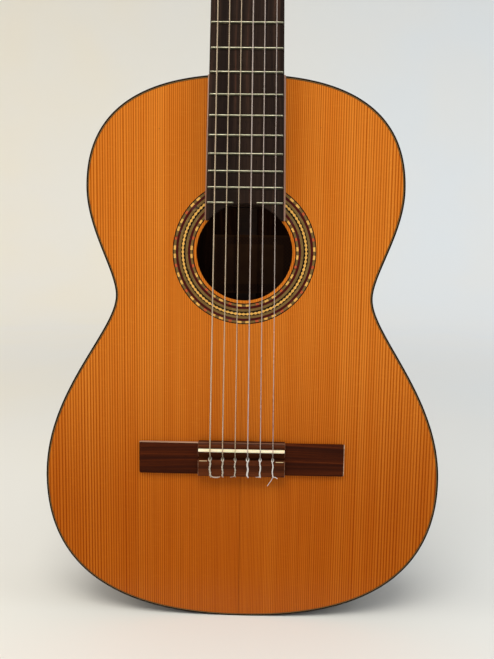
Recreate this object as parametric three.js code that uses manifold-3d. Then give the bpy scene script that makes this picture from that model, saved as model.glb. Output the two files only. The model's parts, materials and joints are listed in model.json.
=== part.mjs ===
// Classical guitar with a 650 mm scale: a hollow body of spruce and rosewood, a slotted head
// with six worm tuners, nineteen frets and six strings.
//
// Frame: the guitar stands on its tail, +Z runs up to the head, -Y is the way the soundboard
// faces and +X is the treble side. Inside the guitar group heights (z) are measured from the
// tail and depths (y) from the soundboard's outer face, which lies at y = 0.

import * as THREE from 'three';
import { mergeVertices } from 'three/addons/utils/BufferGeometryUtils.js';
import Module from 'manifold-3d';

const wasm = await Module();
wasm.setup();

// ---- Driving dimensions, in millimetres ----------------------------------------------------

const SCALE_LENGTH = 650;
const NUT_Z = 811;
const SADDLE_Z = 160;
const FACE_TO_ORIGIN = 48;

const BODY_LENGTH = 486.6;
const LOWER_BOUT = { half: 178.2, z: 130.5 };
const WAIST = { half: 113.2, z: 297 };
const UPPER_BOUT = { half: 138.2, z: 390.2 };
// Lengths of the curve handles at each of the outline's points, along the curve.
const OUTLINE_HANDLES = {
  tail: 142.1, lowerBack: 65.8, lowerFront: 78.5, waistBack: 31.8, waistFront: 21.3,
  upperBack: 36.4, upperFront: 86.4, neck: 55,
};
const OUTLINE_STEPS = 32;
const DEPTH_AT_TAIL = 96;
const DEPTH_AT_HEEL = 90;
const BACK_ARCH = 4;
const BACK_CROSS_RADIUS = 4000;

const SOUNDBOARD_THICKNESS = 2.5;
const BACK_THICKNESS = 2.5;
const RIB_THICKNESS = 2;
const BINDING = { width: 2.3, depth: 5 };
const LINING = { width: 6, depth: 15 };
const SOUNDHOLE = { radius: 42, z: 335.7 };
const TAIL_GRAFT = { half: 6 };
const TAIL_BLOCK = { half: 34, z0: 4.2, z1: 22, notch: 2 };
const BAR = { width: 6, lowerZ: 272, upperZ: 395 };
const FAN = {
  count: 7, spread: 24, topZ: 265, bottomZ: 33, rise: 0.35, convergeZ: 700, width: 5, depth: 6,
};
const CLOSING_STRUT = { x0: 4, z0: 34, x1: 112, z1: 76 };
const BRIDGE_PATCH_BACK = 5.5;
const BACK_BRACE = { stations: [95, 235, 385], halfWidth: 4, depth: 16, spans: 6 };
const BACK_STRIP = { half: 10, z0: 28, z1: 395, depth: 3, spans: 6 };
// Distance from the outline to the ends of a bar or brace, which stop at the linings.
const BRACE_CLEARANCE = 16;
const ROSETTE = { inner: 44.5, outer: 62.9, thickness: 1.2 };

const NECK_HALF_AT_NUT = 26.1;
const NECK_HALF_AT_BODY = 31.5;
const NECK_DEPTH_AT_NUT = 15.5;
const NECK_DEPTH_AT_HEEL = 17.5;
// Heights of the neck's sections; they are closer together where the heel curves.
const NECK_STATIONS = [481.6, 494, 502, 509, 517, 527, 540, 561];
const HEEL = { length: 75, sweep: 144, power: 2.4, taper: 0.46, taperLength: 17, taperFront: 15 };
const HEEL_WEB_HALF = 9.7;
const BUTTON_TAB = { half: 13.8, z0: 470, z1: 508 };
const FOOT = { half: 30, z0: 400, z1: 481.5, blockZ: 455, sole: 14 };
const FINGERBOARD = { thickness: 6.5, endZ: 363, endRadius: 41.7 };
const FRET_COUNT = 19;
const FRET = { width: 2, crown: 1.1, tangWidth: 0.6, tangDepth: 1.7, inset: 0.9 };
const FRET_SLOT = { width: 0.8, depth: 2 };
const LAST_FRET_GAP_HALF = 10;

const NUT = { width: 4.8, top: 8.3, bearing: 1.2, fall: 2.5 };
const HEAD_Z = NUT_Z + 5;
const HEAD_TILT = THREE.MathUtils.degToRad(15);
const HEAD = { length: 188, thickness: 17.5, half: 35.5, shoulderV: 14, shoulderCurve: 6 };
// The crest's corner: a step in from the head's edge and down from its top, then a soft wave.
const CREST = { corner: 14, dip: 6, stepIn: 9, stepDown: 12, middle: 10 };
const VENEER = { thickness: 2.5, gap: 0.3 };
const HEAD_SLOT = { inner: 8, outer: 24.5, v0: 12, v1: 130 };

const BRIDGE = { half: 92.5, z0: 136.3, z1: 165.5, wing: 3.5, bevelWidth: 3, bevelDepth: 1.5 };
const BRIDGE_BLOCK = { half: 39, z0: 136.4, z1: 166.8, top: 8.5 };
const BRIDGE_CHANNEL = { front: 156.4, foot: 152.6, back: 151, floor: 3.2 };
// How far the block's upper surface lies below its top, from the front edge to the channel.
const BLOCK_FALL = { front: 3, bevel: 2.3, crest: 1, slotFront: 0.7, slotBack: 1.1, channel: 1.3 };
const SADDLE = { half: 38.5, width: 2.5, top: 10.4, bottom: 3.7 };
const STRING_HOLE = { radius: 1.1, height: 5, drill: 24, middleZ: 144 };

const STRING_RADII = [0.54, 0.45, 0.37, 0.51, 0.41, 0.36];
const STRING_SPACING = { saddle: 11.2, nut: 8.7 };
const WINDING_LANES = [-20, -16.5, -13.5, 13.5, 16.5, 20];

const ROLLER = { v0: 40, pitch: 35, depth: 8.5, radius: 5, innerX: 3.6, outerX: 35.2, shaft: 2.2 };
const PLATE = { x0: 35.8, x1: 37, y0: 2, y1: 15, v0: 22, v1: 128 };
const GEAR = { teeth: 16, root: 4.4, tip: 5.65, x0: 38.9, x1: 41.7 };
// Half widths of a tooth at its root and its tip, as shares of the tooth spacing.
const TOOTH = { root: 0.31, tip: 0.115 };
const WORM = { x: 40.3, pitch: 2, pitchRadius: 2.2, root: 1.5, tip: 2.75, y0: 4, y1: 13 };
// Half widths of the thread's ridge where it leaves the core and at its tip.
const THREAD = { root: 0.62, tip: 0.19, sunk: 0.3, stepsPerTurn: 8 };
const WORM_OFFSET = 7.3;
const WORM_SHAFT = 1.3;
const LUG = { half: 3.2, thickness: 1.4, x1: 43.4, front: 0.9, back: 14.7, hole: 1.45 };
const BUTTON = { y: 28.5, halfLength: 8.5, halfWidth: 7.5, halfThickness: 4.3 };
// The thread crosses the line to the gear half a pitch to either side of the gear's bottom tooth.
const THREAD_START = ROLLER.depth - WORM.pitch * 2.5;

// Clearances: GLUE is a glue line between flat faces, GAP is the space between curved ones.
const GLUE = 0.1;
const GAP = 0.25;

// ---- Materials -----------------------------------------------------------------------------

const MATERIALS = {
  spruce: { color: 0xc8742a, roughness: 0.25, metalness: 0 },
  braceSpruce: { color: 0xd9b988, roughness: 0.7, metalness: 0 },
  rosewood: { color: 0x3c1d10, roughness: 0.3, metalness: 0 },
  ebony: { color: 0x362c28, roughness: 0.5, metalness: 0 },
  cedar: { color: 0x8a5a38, roughness: 0.4, metalness: 0 },
  mosaic: { color: 0x79562c, roughness: 0.35, metalness: 0 },
  bone: { color: 0xd8c99c, roughness: 0.4, metalness: 0 },
  nickelSilver: { color: 0xb0a47c, roughness: 0.3, metalness: 1 },
  brass: { color: 0xb8964a, roughness: 0.3, metalness: 1 },
  pearl: { color: 0xe8e0cf, roughness: 0.25, metalness: 0 },
  woundString: { color: 0x9a8f80, roughness: 0.4, metalness: 0.8 },
  nylonString: { color: 0xd0d4da, roughness: 0.25, metalness: 0 },
};

const guitar = new THREE.Group();
const head = new THREE.Group();

function add(group, name, geometry, finish) {
  const mesh = new THREE.Mesh(geometry, new THREE.MeshStandardMaterial(MATERIALS[finish]));
  mesh.name = name;
  group.add(mesh);
}

// ---- Geometry helpers ----------------------------------------------------------------------

// Moves every vertex of a geometry by a function of its position.
function warp(geometry, move) {
  const position = geometry.attributes.position;
  for (let i = 0; i < position.count; i++) {
    position.setXYZ(i, ...move(position.getX(i), position.getY(i), position.getZ(i)));
  }
  geometry.computeVertexNormals();
  return geometry;
}

// A plate drawn in the (x, z) plane. Its front and back faces are at depths y, given as
// numbers or as functions of (x, z).
function plate(shape, front, back) {
  const depth = (face, x, z) => (typeof face === 'function' ? face(x, z) : face);
  const geometry = new THREE.ExtrudeGeometry(shape, { depth: 1, bevelEnabled: false });
  return warp(geometry, (x, z, t) => [x, depth(t > 0.5 ? front : back, x, z), z]);
}

// A bar along x whose section is drawn as [z, height] points, with height in front of the
// soundboard's face.
function barAlongX(section, x0, x1) {
  const shape = new THREE.Shape(section.map(([z, height]) => new THREE.Vector2(z, height)));
  const geometry = new THREE.ExtrudeGeometry(shape, { depth: x1 - x0, bevelEnabled: false });
  return warp(geometry, (z, height, x) => [x0 + x, -height, z]);
}

function box(x0, x1, y0, y1, z0, z1) {
  const geometry = new THREE.BoxGeometry(x1 - x0, y1 - y0, z1 - z0);
  return geometry.translate((x0 + x1) / 2, (y0 + y1) / 2, (z0 + z1) / 2);
}

// A cylinder along the x or y axis, from one coordinate to the other.
function rod(axis, from, to, radius, a, b, sides) {
  const geometry = new THREE.CylinderGeometry(radius, radius, to - from, sides);
  const middle = (from + to) / 2;
  if (axis === 'x') {
    return geometry.rotateZ(Math.PI / 2).translate(middle, a, b);
  }
  return geometry.translate(a, middle, b);
}

// A closed surface through rings of points that all have the same count, with flat ends.
function loft(rings) {
  const count = rings[0].length;
  const positions = rings.flat(2);
  const index = [];
  for (let r = 0; r < rings.length - 1; r++) {
    for (let i = 0; i < count; i++) {
      const a = r * count + i;
      const b = r * count + ((i + 1) % count);
      index.push(a, b, b + count, a, b + count, a + count);
    }
  }
  const last = (rings.length - 1) * count;
  for (let i = 1; i < count - 1; i++) {
    index.push(0, i + 1, i, last, last + i, last + i + 1);
  }
  const geometry = new THREE.BufferGeometry();
  geometry.setAttribute('position', new THREE.Float32BufferAttribute(positions, 3));
  geometry.setIndex(index);
  return outward(geometry);
}

// Turns a closed indexed geometry's faces to point out.
function outward(geometry) {
  const position = geometry.attributes.position;
  const corner = (i) => new THREE.Vector3().fromBufferAttribute(position, geometry.index.getX(i));
  let volume = 0;
  for (let i = 0; i < geometry.index.count; i += 3) {
    volume += corner(i).dot(corner(i + 1).cross(corner(i + 2)));
  }
  if (volume < 0) {
    const turned = [];
    for (let i = 0; i < geometry.index.count; i += 3) {
      turned.push(geometry.index.getX(i), geometry.index.getX(i + 2), geometry.index.getX(i + 1));
    }
    geometry.setIndex(turned);
  }
  geometry.computeVertexNormals();
  return geometry;
}

function solid(geometry) {
  const bare = geometry.clone();
  bare.deleteAttribute('normal');
  bare.deleteAttribute('uv');
  const merged = mergeVertices(bare);
  return new wasm.Manifold(new wasm.Mesh({
    numProp: 3,
    vertProperties: new Float32Array(merged.attributes.position.array),
    triVerts: new Uint32Array(merged.index.array),
  }));
}

function surface(manifold) {
  const mesh = manifold.getMesh();
  const geometry = new THREE.BufferGeometry();
  geometry.setAttribute('position', new THREE.BufferAttribute(mesh.vertProperties, 3));
  geometry.setIndex(new THREE.BufferAttribute(mesh.triVerts, 1));
  geometry.computeVertexNormals();
  return geometry;
}

const join = (geometries) => geometries.map(solid).reduce((a, b) => a.add(b));
const cut = (body, tools) => tools.map(solid).reduce((a, b) => a.subtract(b), body);

// ---- The body's outline --------------------------------------------------------------------

// Half of the outline, from the tail's centre to the neck joint's centre.
function halfOutline() {
  const handles = OUTLINE_HANDLES;
  const path = new THREE.Path();
  path.moveTo(0, 0);
  path.bezierCurveTo(handles.tail, 0, LOWER_BOUT.half, LOWER_BOUT.z - handles.lowerBack,
    LOWER_BOUT.half, LOWER_BOUT.z);
  path.bezierCurveTo(LOWER_BOUT.half, LOWER_BOUT.z + handles.lowerFront,
    WAIST.half, WAIST.z - handles.waistBack, WAIST.half, WAIST.z);
  path.bezierCurveTo(WAIST.half, WAIST.z + handles.waistFront,
    UPPER_BOUT.half, UPPER_BOUT.z - handles.upperBack, UPPER_BOUT.half, UPPER_BOUT.z);
  path.bezierCurveTo(UPPER_BOUT.half, UPPER_BOUT.z + handles.upperFront,
    handles.neck, BODY_LENGTH, 0, BODY_LENGTH);
  return path.getSpacedPoints(OUTLINE_STEPS);
}

const HALF = halfOutline();
const OUTLINE = [
  ...HALF,
  ...HALF.slice(1, -1).reverse().map((p) => new THREE.Vector2(-p.x, p.y)),
];

// The outline moved inwards by a distance, with mitred corners.
function inset(distance) {
  const count = OUTLINE.length;
  return OUTLINE.map((p, i) => {
    const before = p.clone().sub(OUTLINE[(i + count - 1) % count]).normalize();
    const after = OUTLINE[(i + 1) % count].clone().sub(p).normalize();
    const normal = new THREE.Vector2(-before.y - after.y, before.x + after.x).normalize();
    const mitre = distance / (normal.x * -after.y + normal.y * after.x);
    return p.clone().addScaledVector(normal, mitre);
  });
}

// The part of an inset outline on one side (+1 treble, -1 bass), from tail to neck, between
// a half gap at the tail and a half gap at the neck.
function side(distance, sign, tailGap, neckGap) {
  const points = inset(distance).slice(0, OUTLINE_STEPS + 1);
  const crossing = (x, a, b) => a.clone().lerp(b, (x - a.x) / (b.x - a.x));
  const first = points.findIndex((p) => p.x > tailGap);
  const last = points.findLastIndex((p) => p.x > neckGap);
  const tail = crossing(tailGap, points[first - 1], points[first]);
  const neckEnd = crossing(neckGap, points[last], points[last + 1]);
  return [tail, ...points.slice(first, last + 1), neckEnd].map((p) => p.setX(p.x * sign));
}

// Half width of the body at a height, measured on the outline.
function halfWidth(z) {
  const i = HALF.findIndex((p) => p.y > z);
  const t = (z - HALF[i - 1].y) / (HALF[i].y - HALF[i - 1].y);
  return THREE.MathUtils.lerp(HALF[i - 1].x, HALF[i].x, t);
}

// Depth of the back plate's inner face: it tapers to the heel and arches both ways.
function backDepth(x, z) {
  const t = z / BODY_LENGTH;
  const taper = THREE.MathUtils.lerp(DEPTH_AT_TAIL, DEPTH_AT_HEEL, t);
  return taper + BACK_ARCH * 4 * t * (1 - t) - (x * x) / (2 * BACK_CROSS_RADIUS);
}

const behind = (offset) => (x, z) => backDepth(x, z) + offset;

// A closed hoop between two insets of the outline.
function hoop(outerInset, innerInset, front, back) {
  const shape = new THREE.Shape(inset(outerInset));
  shape.holes.push(new THREE.Path(inset(innerInset)));
  return plate(shape, front, back);
}

// A hoop that is open at the neck joint.
function openHoop(outerInset, innerInset, neckGap, front, back) {
  const arc = (distance) => [
    ...side(distance, 1, 0.5, neckGap).reverse(),
    ...side(distance, -1, 0.5, neckGap),
  ];
  return plate(new THREE.Shape([...arc(outerInset), ...arc(innerInset).reverse()]), front, back);
}

// ---- Body ----------------------------------------------------------------------------------

function soundboard() {
  const shape = new THREE.Shape(inset(BINDING.width + GAP));
  shape.holes.push(new THREE.Path().absarc(0, SOUNDHOLE.z, SOUNDHOLE.radius, 0, 2 * Math.PI));
  const groove = ring(ROSETTE.inner - GAP, ROSETTE.outer + GAP, -1, ROSETTE.thickness + GLUE);
  return surface(cut(solid(plate(shape, 0, SOUNDBOARD_THICKNESS)), [groove]));
}

function ring(inner, outer, front, back) {
  const shape = new THREE.Shape().absarc(0, SOUNDHOLE.z, outer, 0, 2 * Math.PI);
  shape.holes.push(new THREE.Path().absarc(0, SOUNDHOLE.z, inner, 0, 2 * Math.PI));
  return plate(shape, front, back);
}

function rib(sign) {
  const outer = side(0, sign, TAIL_GRAFT.half + GAP, HEEL_WEB_HALF + GAP);
  const inner = side(RIB_THICKNESS, sign, TAIL_GRAFT.half + GAP, HEEL_WEB_HALF + GAP);
  const shape = new THREE.Shape([...outer, ...inner.reverse()]);
  return plate(shape, BINDING.depth + GLUE, behind(-BINDING.depth - GAP));
}

// The back plate: an arched sheet with a tab, the button, that covers the heel's end.
function backPlate() {
  const centre = new THREE.Vector2(0, WAIST.z);
  const edge = inset(BINDING.width + GAP);
  const faces = [BACK_THICKNESS, 0].map((offset) => [1, 0.6, 0.2].map((scale) =>
    edge.map((p) => {
      const at = centre.clone().lerp(p, scale);
      return [at.x, backDepth(at.x, at.y) + offset, at.y];
    })));
  const sheet = loft([...faces[0].reverse(), ...faces[1]]);
  const tab = new THREE.Shape();
  tab.moveTo(-BUTTON_TAB.half, BUTTON_TAB.z0);
  tab.lineTo(BUTTON_TAB.half, BUTTON_TAB.z0);
  tab.lineTo(BUTTON_TAB.half, BUTTON_TAB.z1 - BUTTON_TAB.half);
  tab.absarc(0, BUTTON_TAB.z1 - BUTTON_TAB.half, BUTTON_TAB.half, 0, Math.PI, false);
  return surface(solid(sheet).add(solid(plate(tab, behind(0), behind(BACK_THICKNESS)))));
}

// The tail block, notched over the linings, with the end graft that fills the ribs' joint.
function tailBlock() {
  const notch = {
    z: BINDING.width + LINING.width + TAIL_BLOCK.notch,
    front: SOUNDBOARD_THICKNESS + LINING.depth + 1,
  };
  const top = -SOUNDBOARD_THICKNESS - GLUE;
  const bottom = -backDepth(TAIL_BLOCK.half, TAIL_BLOCK.z0) + 2 * GAP;
  const block = barAlongX([
    [TAIL_BLOCK.z0, -notch.front], [notch.z, -notch.front], [notch.z, top],
    [TAIL_BLOCK.z1, top], [TAIL_BLOCK.z1, bottom], [notch.z, bottom],
    [notch.z, bottom + notch.front], [TAIL_BLOCK.z0, bottom + notch.front],
  ], -TAIL_BLOCK.half, TAIL_BLOCK.half);
  const web = box(-TAIL_GRAFT.half, TAIL_GRAFT.half, notch.front, -bottom - notch.front,
    1, TAIL_BLOCK.z0 + 1);
  const graft = box(-TAIL_GRAFT.half, TAIL_GRAFT.half, BINDING.depth + GLUE,
    backDepth(0, 0) - BINDING.depth, 0, RIB_THICKNESS);
  return surface(join([block, web, graft]));
}

function soundboardBar(z0) {
  const z1 = z0 + BAR.width;
  const half = Math.min(halfWidth(z0), halfWidth(z1)) - BRACE_CLEARANCE;
  return box(-half, half, SOUNDBOARD_THICKNESS + GLUE, SOUNDBOARD_THICKNESS + LINING.depth, z0, z1);
}

// Seven struts that spread from the neck, two closing struts and the patch under the bridge.
function fanBracing() {
  const strut = (x0, z0, x1, z1) => {
    const length = Math.hypot(x1 - x0, z1 - z0);
    const geometry = new THREE.BoxGeometry(FAN.width, FAN.depth, length);
    geometry.rotateY(Math.atan2(x1 - x0, z1 - z0));
    const depth = SOUNDBOARD_THICKNESS + GLUE + FAN.depth / 2;
    return geometry.translate((x0 + x1) / 2, depth, (z0 + z1) / 2);
  };
  const parts = [];
  for (let i = 0; i < FAN.count; i++) {
    const xAtBridge = (i - (FAN.count - 1) / 2) * FAN.spread;
    const slope = xAtBridge / (FAN.convergeZ - SADDLE_Z);
    const bottomZ = FAN.bottomZ + FAN.rise * Math.abs(xAtBridge);
    const xAt = (z) => xAtBridge + slope * (SADDLE_Z - z);
    parts.push(strut(xAt(bottomZ), bottomZ, xAt(FAN.topZ), FAN.topZ));
  }
  for (const sign of [1, -1]) {
    const { x0, z0, x1, z1 } = CLOSING_STRUT;
    parts.push(strut(x0 * sign, z0, x1 * sign, z1));
  }
  parts.push(box(-BRIDGE.half, BRIDGE.half, SOUNDBOARD_THICKNESS + GLUE, BRIDGE_PATCH_BACK,
    BRIDGE.z0, BRIDGE.z1));
  return surface(join(parts));
}

// Three arched braces across the back, and the strip along its centre joint.
function backBracing() {
  const arched = (half, z0, z1, depth, spansX, spansZ) => {
    const geometry = new THREE.BoxGeometry(2 * half, 1, z1 - z0, spansX, 1, spansZ);
    geometry.translate(0, 0, (z0 + z1) / 2);
    return warp(geometry, (x, y, z) => [x, backDepth(x, z) - 2 * GAP - (y < 0 ? depth : 0), z]);
  };
  const parts = BACK_BRACE.stations.map((z) => {
    const z0 = z - BACK_BRACE.halfWidth;
    const z1 = z + BACK_BRACE.halfWidth;
    const half = Math.min(halfWidth(z0), halfWidth(z1)) - BRACE_CLEARANCE;
    return arched(half, z0, z1, BACK_BRACE.depth, BACK_BRACE.spans, 1);
  });
  const strip = BACK_STRIP;
  parts.push(arched(strip.half, strip.z0, strip.z1, strip.depth, 1, strip.spans));
  return surface(join(parts));
}

// ---- Neck and head -------------------------------------------------------------------------

const neckHalf = (z) => NECK_HALF_AT_NUT
  + ((NUT_Z - z) * (NECK_HALF_AT_BODY - NECK_HALF_AT_NUT)) / (SCALE_LENGTH / 2);

// Depth of the neck behind the fingerboard: the shaft, with the heel's sweep added near the body.
function neckDepth(z) {
  const shaft = THREE.MathUtils.lerp(NECK_DEPTH_AT_HEEL, NECK_DEPTH_AT_NUT,
    (z - BODY_LENGTH) / (NUT_Z - BODY_LENGTH));
  const u = THREE.MathUtils.clamp((z - BODY_LENGTH) / HEEL.length, 0, 1);
  return shaft + HEEL.sweep * (1 - u) ** HEEL.power;
}

// One D-shaped section of the neck. Near the body it narrows towards the back, where the back's
// button cuts it flat.
function neckSection(z) {
  const half = neckHalf(z) - 0.2;
  const depth = neckDepth(z);
  const deepest = backDepth(0, z) - GAP;
  const taper = HEEL.taper * THREE.MathUtils.clamp(1 - (z - BODY_LENGTH) / HEEL.taperLength, 0, 1);
  const points = [];
  for (let i = 0; i <= 12; i++) {
    const angle = (i * Math.PI) / 12;
    const y = Math.min(depth * Math.sin(angle), deepest);
    const narrow = 1 - taper * THREE.MathUtils.smoothstep(y, HEEL.taperFront, deepest);
    points.push([half * Math.cos(angle) * narrow, y, z]);
  }
  return points;
}

// The head's outline in its own plane, v up from the nut, with a gently waved crest.
function headShape(margin) {
  const half = HEAD.half - margin;
  const top = HEAD.length - margin;
  const start = NECK_HALF_AT_NUT - margin;
  const shape = new THREE.Shape();
  shape.moveTo(-start, 0);
  shape.lineTo(start, 0);
  const curve = HEAD.shoulderCurve;
  const dip = top - CREST.dip;
  const step = top - CREST.stepDown;
  shape.bezierCurveTo(start + 0.5, curve, half, curve, half, HEAD.shoulderV);
  shape.lineTo(half, top - CREST.corner);
  shape.quadraticCurveTo(half - CREST.stepIn, step, half - CREST.corner, dip);
  shape.quadraticCurveTo(CREST.middle, top, 0, top);
  shape.quadraticCurveTo(-CREST.middle, top, -half + CREST.corner, dip);
  shape.quadraticCurveTo(-half + CREST.stepIn, step, -half, top - CREST.corner);
  shape.lineTo(-half, HEAD.shoulderV);
  shape.bezierCurveTo(-half, curve, -start - 0.5, curve, -start, 0);
  return shape;
}

function slotShape(sign, margin) {
  const radius = (HEAD_SLOT.outer - HEAD_SLOT.inner) / 2 + margin;
  const x = (sign * (HEAD_SLOT.outer + HEAD_SLOT.inner)) / 2;
  const low = HEAD_SLOT.v0 + radius - margin;
  const high = HEAD_SLOT.v1 - radius + margin;
  const shape = new THREE.Shape();
  shape.absarc(x, high, radius, 0, Math.PI, false);
  shape.absarc(x, low, radius, Math.PI, 2 * Math.PI, false);
  return shape;
}

function coarsePlate(shape, front, back) {
  const geometry = new THREE.ExtrudeGeometry(shape, { depth: 1, bevelEnabled: false, curveSegments: 5 });
  return warp(geometry, (x, z, t) => [x, t > 0.5 ? front : back, z]);
}

// Moves a geometry made in the head's frame into the guitar's frame.
function onHead(geometry) {
  return geometry.rotateX(-HEAD_TILT).translate(0, 0, HEAD_Z);
}

// Neck shaft, heel, the foot inside the body, and the slotted head: one length of cedar.
function neck() {
  const stations = [...NECK_STATIONS, HEAD_Z];
  const bodyEnvelope = plate(new THREE.Shape(inset(-GAP)), -1, DEPTH_AT_TAIL + BACK_ARCH);
  const shaft = surface(cut(solid(loft(stations.map(neckSection))), [bodyEnvelope]));
  const footBack = backDepth(FOOT.half, FOOT.z0) - 2 * GAP;
  const foot = barAlongX([
    [FOOT.blockZ, -SOUNDBOARD_THICKNESS - GLUE], [FOOT.z1, -SOUNDBOARD_THICKNESS - GLUE],
    [FOOT.z1, -backDepth(FOOT.half, FOOT.z1) + 2 * GAP], [FOOT.z0, -footBack],
    [FOOT.z0, -footBack + FOOT.sole], [FOOT.blockZ, -footBack + FOOT.sole],
  ], -FOOT.half, FOOT.half);
  const web = box(-HEEL_WEB_HALF, HEEL_WEB_HALF, BINDING.depth + 1, DEPTH_AT_HEEL - BINDING.depth - 2,
    FOOT.z1 - 5, BODY_LENGTH + 3);
  const blank = onHead(coarsePlate(headShape(0), 0, HEAD.thickness));
  const tools = [1, -1].map((sign) => onHead(coarsePlate(slotShape(sign, 0), -9, HEAD.thickness + 9)));
  for (const sign of [1, -1]) {
    for (let i = 0; i < 3; i++) {
      const v = ROLLER.v0 + i * ROLLER.pitch;
      const ends = [sign * (ROLLER.innerX - 0.5), sign * (HEAD.half + 1)].sort((a, b) => a - b);
      tools.push(onHead(rod('x', ...ends, ROLLER.radius + 0.5, ROLLER.depth, v, 10)));
    }
  }
  return surface(cut(join([shaft, foot, web, blank]), tools));
}

function headVeneer() {
  const shape = headShape(0.2);
  const sheet = coarsePlate(shape, -VENEER.gap - VENEER.thickness, -VENEER.gap);
  const slots = [1, -1].map((sign) => coarsePlate(slotShape(sign, 0.2), -9, 9));
  // The veneer's lower end is undercut so that it stands square against the nut.
  const relief = new THREE.BoxGeometry(80, 20, 10);
  relief.translate(0, 0, -5).rotateX(HEAD_TILT).translate(0, 0, 0.3);
  return surface(cut(solid(sheet), [...slots, relief]));
}

const fretZ = (n) => NUT_Z - SCALE_LENGTH * (1 - 2 ** (-n / 12));

function fingerboard() {
  const corner = neckHalf(FINGERBOARD.endZ);
  const angle = Math.atan2(FINGERBOARD.endZ - SOUNDHOLE.z,
    Math.sqrt(FINGERBOARD.endRadius ** 2 - (FINGERBOARD.endZ - SOUNDHOLE.z) ** 2));
  const shape = new THREE.Shape();
  shape.moveTo(-NECK_HALF_AT_NUT, NUT_Z);
  shape.lineTo(-corner, FINGERBOARD.endZ);
  shape.absarc(0, SOUNDHOLE.z, FINGERBOARD.endRadius, Math.PI - angle, angle, true);
  shape.lineTo(corner, FINGERBOARD.endZ);
  shape.lineTo(NECK_HALF_AT_NUT, NUT_Z);
  const slots = [];
  for (let n = 1; n <= FRET_COUNT; n++) {
    const y1 = -FINGERBOARD.thickness + FRET_SLOT.depth;
    const z0 = fretZ(n) - FRET_SLOT.width / 2;
    const z1 = fretZ(n) + FRET_SLOT.width / 2;
    if (n < FRET_COUNT) {
      slots.push(box(-40, 40, -9, y1, z0, z1));
    } else {
      slots.push(box(-40, GAP - LAST_FRET_GAP_HALF, -9, y1, z0, z1));
      slots.push(box(LAST_FRET_GAP_HALF - GAP, 40, -9, y1, z0, z1));
    }
  }
  return surface(cut(solid(plate(shape, -FINGERBOARD.thickness, -GLUE)), slots));
}

// A fret: a domed crown that lies on the board and a tang in its slot.
function fret(n, x0, x1) {
  const z = fretZ(n);
  const base = FINGERBOARD.thickness + 0.02;
  const section = [[z - FRET.width / 2, base]];
  section.push([z - FRET.tangWidth / 2, base], [z - FRET.tangWidth / 2, base - FRET.tangDepth]);
  section.push([z + FRET.tangWidth / 2, base - FRET.tangDepth], [z + FRET.tangWidth / 2, base]);
  section.push([z + FRET.width / 2, base]);
  for (const angle of [45, 90, 135].map(THREE.MathUtils.degToRad)) {
    section.push([z + (FRET.width / 2) * Math.cos(angle), base + FRET.crown * Math.sin(angle)]);
  }
  return barAlongX(section, x0, x1);
}

// The nut's top is flat under the strings' bearing points and falls away towards the head.
function nut() {
  return barAlongX([
    [NUT_Z + GLUE, GLUE], [NUT_Z + NUT.width, GLUE], [NUT_Z + NUT.width, NUT.top - NUT.fall],
    [NUT_Z + NUT.bearing, NUT.top], [NUT_Z + GLUE, NUT.top],
  ], -NECK_HALF_AT_NUT, NECK_HALF_AT_NUT);
}

// ---- Bridge and strings --------------------------------------------------------------------

const stringX = (i, spacing) => (i - 2.5) * spacing;

// Wings and block, with a slot for the saddle, a channel behind it and six holes through the
// tie block.
function bridge() {
  const bevelFoot = BRIDGE.wing - BRIDGE.bevelDepth;
  const wings = barAlongX([
    [BRIDGE.z0, GLUE], [BRIDGE.z1, GLUE], [BRIDGE.z1, bevelFoot],
    [BRIDGE.z1 - BRIDGE.bevelWidth, BRIDGE.wing], [BRIDGE.z0 + BRIDGE.bevelWidth, BRIDGE.wing],
    [BRIDGE.z0, bevelFoot],
  ], -BRIDGE.half, BRIDGE.half);
  const slotFront = SADDLE_Z + SADDLE.width / 2 + GAP;
  const slotBack = SADDLE_Z - SADDLE.width / 2 - GAP;
  const slotFloor = SADDLE.bottom - GLUE;
  const channel = BRIDGE_CHANNEL;
  const top = BRIDGE_BLOCK.top;
  const block = barAlongX([
    [BRIDGE_BLOCK.z0, GLUE], [BRIDGE_BLOCK.z1, GLUE], [BRIDGE_BLOCK.z1, top - BLOCK_FALL.front],
    [BRIDGE_BLOCK.z1 - BLOCK_FALL.bevel, top - BLOCK_FALL.crest],
    [slotFront, top - BLOCK_FALL.slotFront], [slotFront, slotFloor],
    [slotBack, slotFloor], [slotBack, top - BLOCK_FALL.slotBack],
    [channel.front, top - BLOCK_FALL.channel],
    [channel.foot, channel.floor], [channel.back, channel.floor], [channel.back, top],
    [BRIDGE_BLOCK.z0 + 1.6, top], [BRIDGE_BLOCK.z0, top - BRIDGE.bevelDepth],
  ], -BRIDGE_BLOCK.half, BRIDGE_BLOCK.half);
  const holes = STRING_RADII.map((_, i) => {
    const { radius, height, drill, middleZ } = STRING_HOLE;
    const hole = new THREE.CylinderGeometry(radius, radius, drill, 8);
    hole.rotateX(Math.PI / 2);
    return hole.translate(stringX(i, STRING_SPACING.saddle), -height, middleZ);
  });
  return surface(cut(join([wings, block]), holes));
}

function saddle() {
  return box(-SADDLE.half, SADDLE.half, -SADDLE.top, -SADDLE.bottom,
    SADDLE_Z - SADDLE.width / 2, SADDLE_Z + SADDLE.width / 2);
}

// A hexagonal wire through points that all lie close to one (y, z) plane.
function wire(points, radius) {
  const rings = points.map((p, i) => {
    const before = points[Math.max(i - 1, 0)];
    const after = points[Math.min(i + 1, points.length - 1)];
    const along = after.clone().sub(before).normalize();
    const across = new THREE.Vector3(1, 0, 0).addScaledVector(along, -along.x).normalize();
    const up = along.clone().cross(across);
    return [0, 1, 2, 3, 4, 5].map((k) => {
      const angle = (k * Math.PI) / 3;
      const offset = across.clone().multiplyScalar(radius * Math.cos(angle));
      return p.clone().add(offset).addScaledVector(up, radius * Math.sin(angle)).toArray();
    });
  });
  return loft(rings);
}

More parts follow.
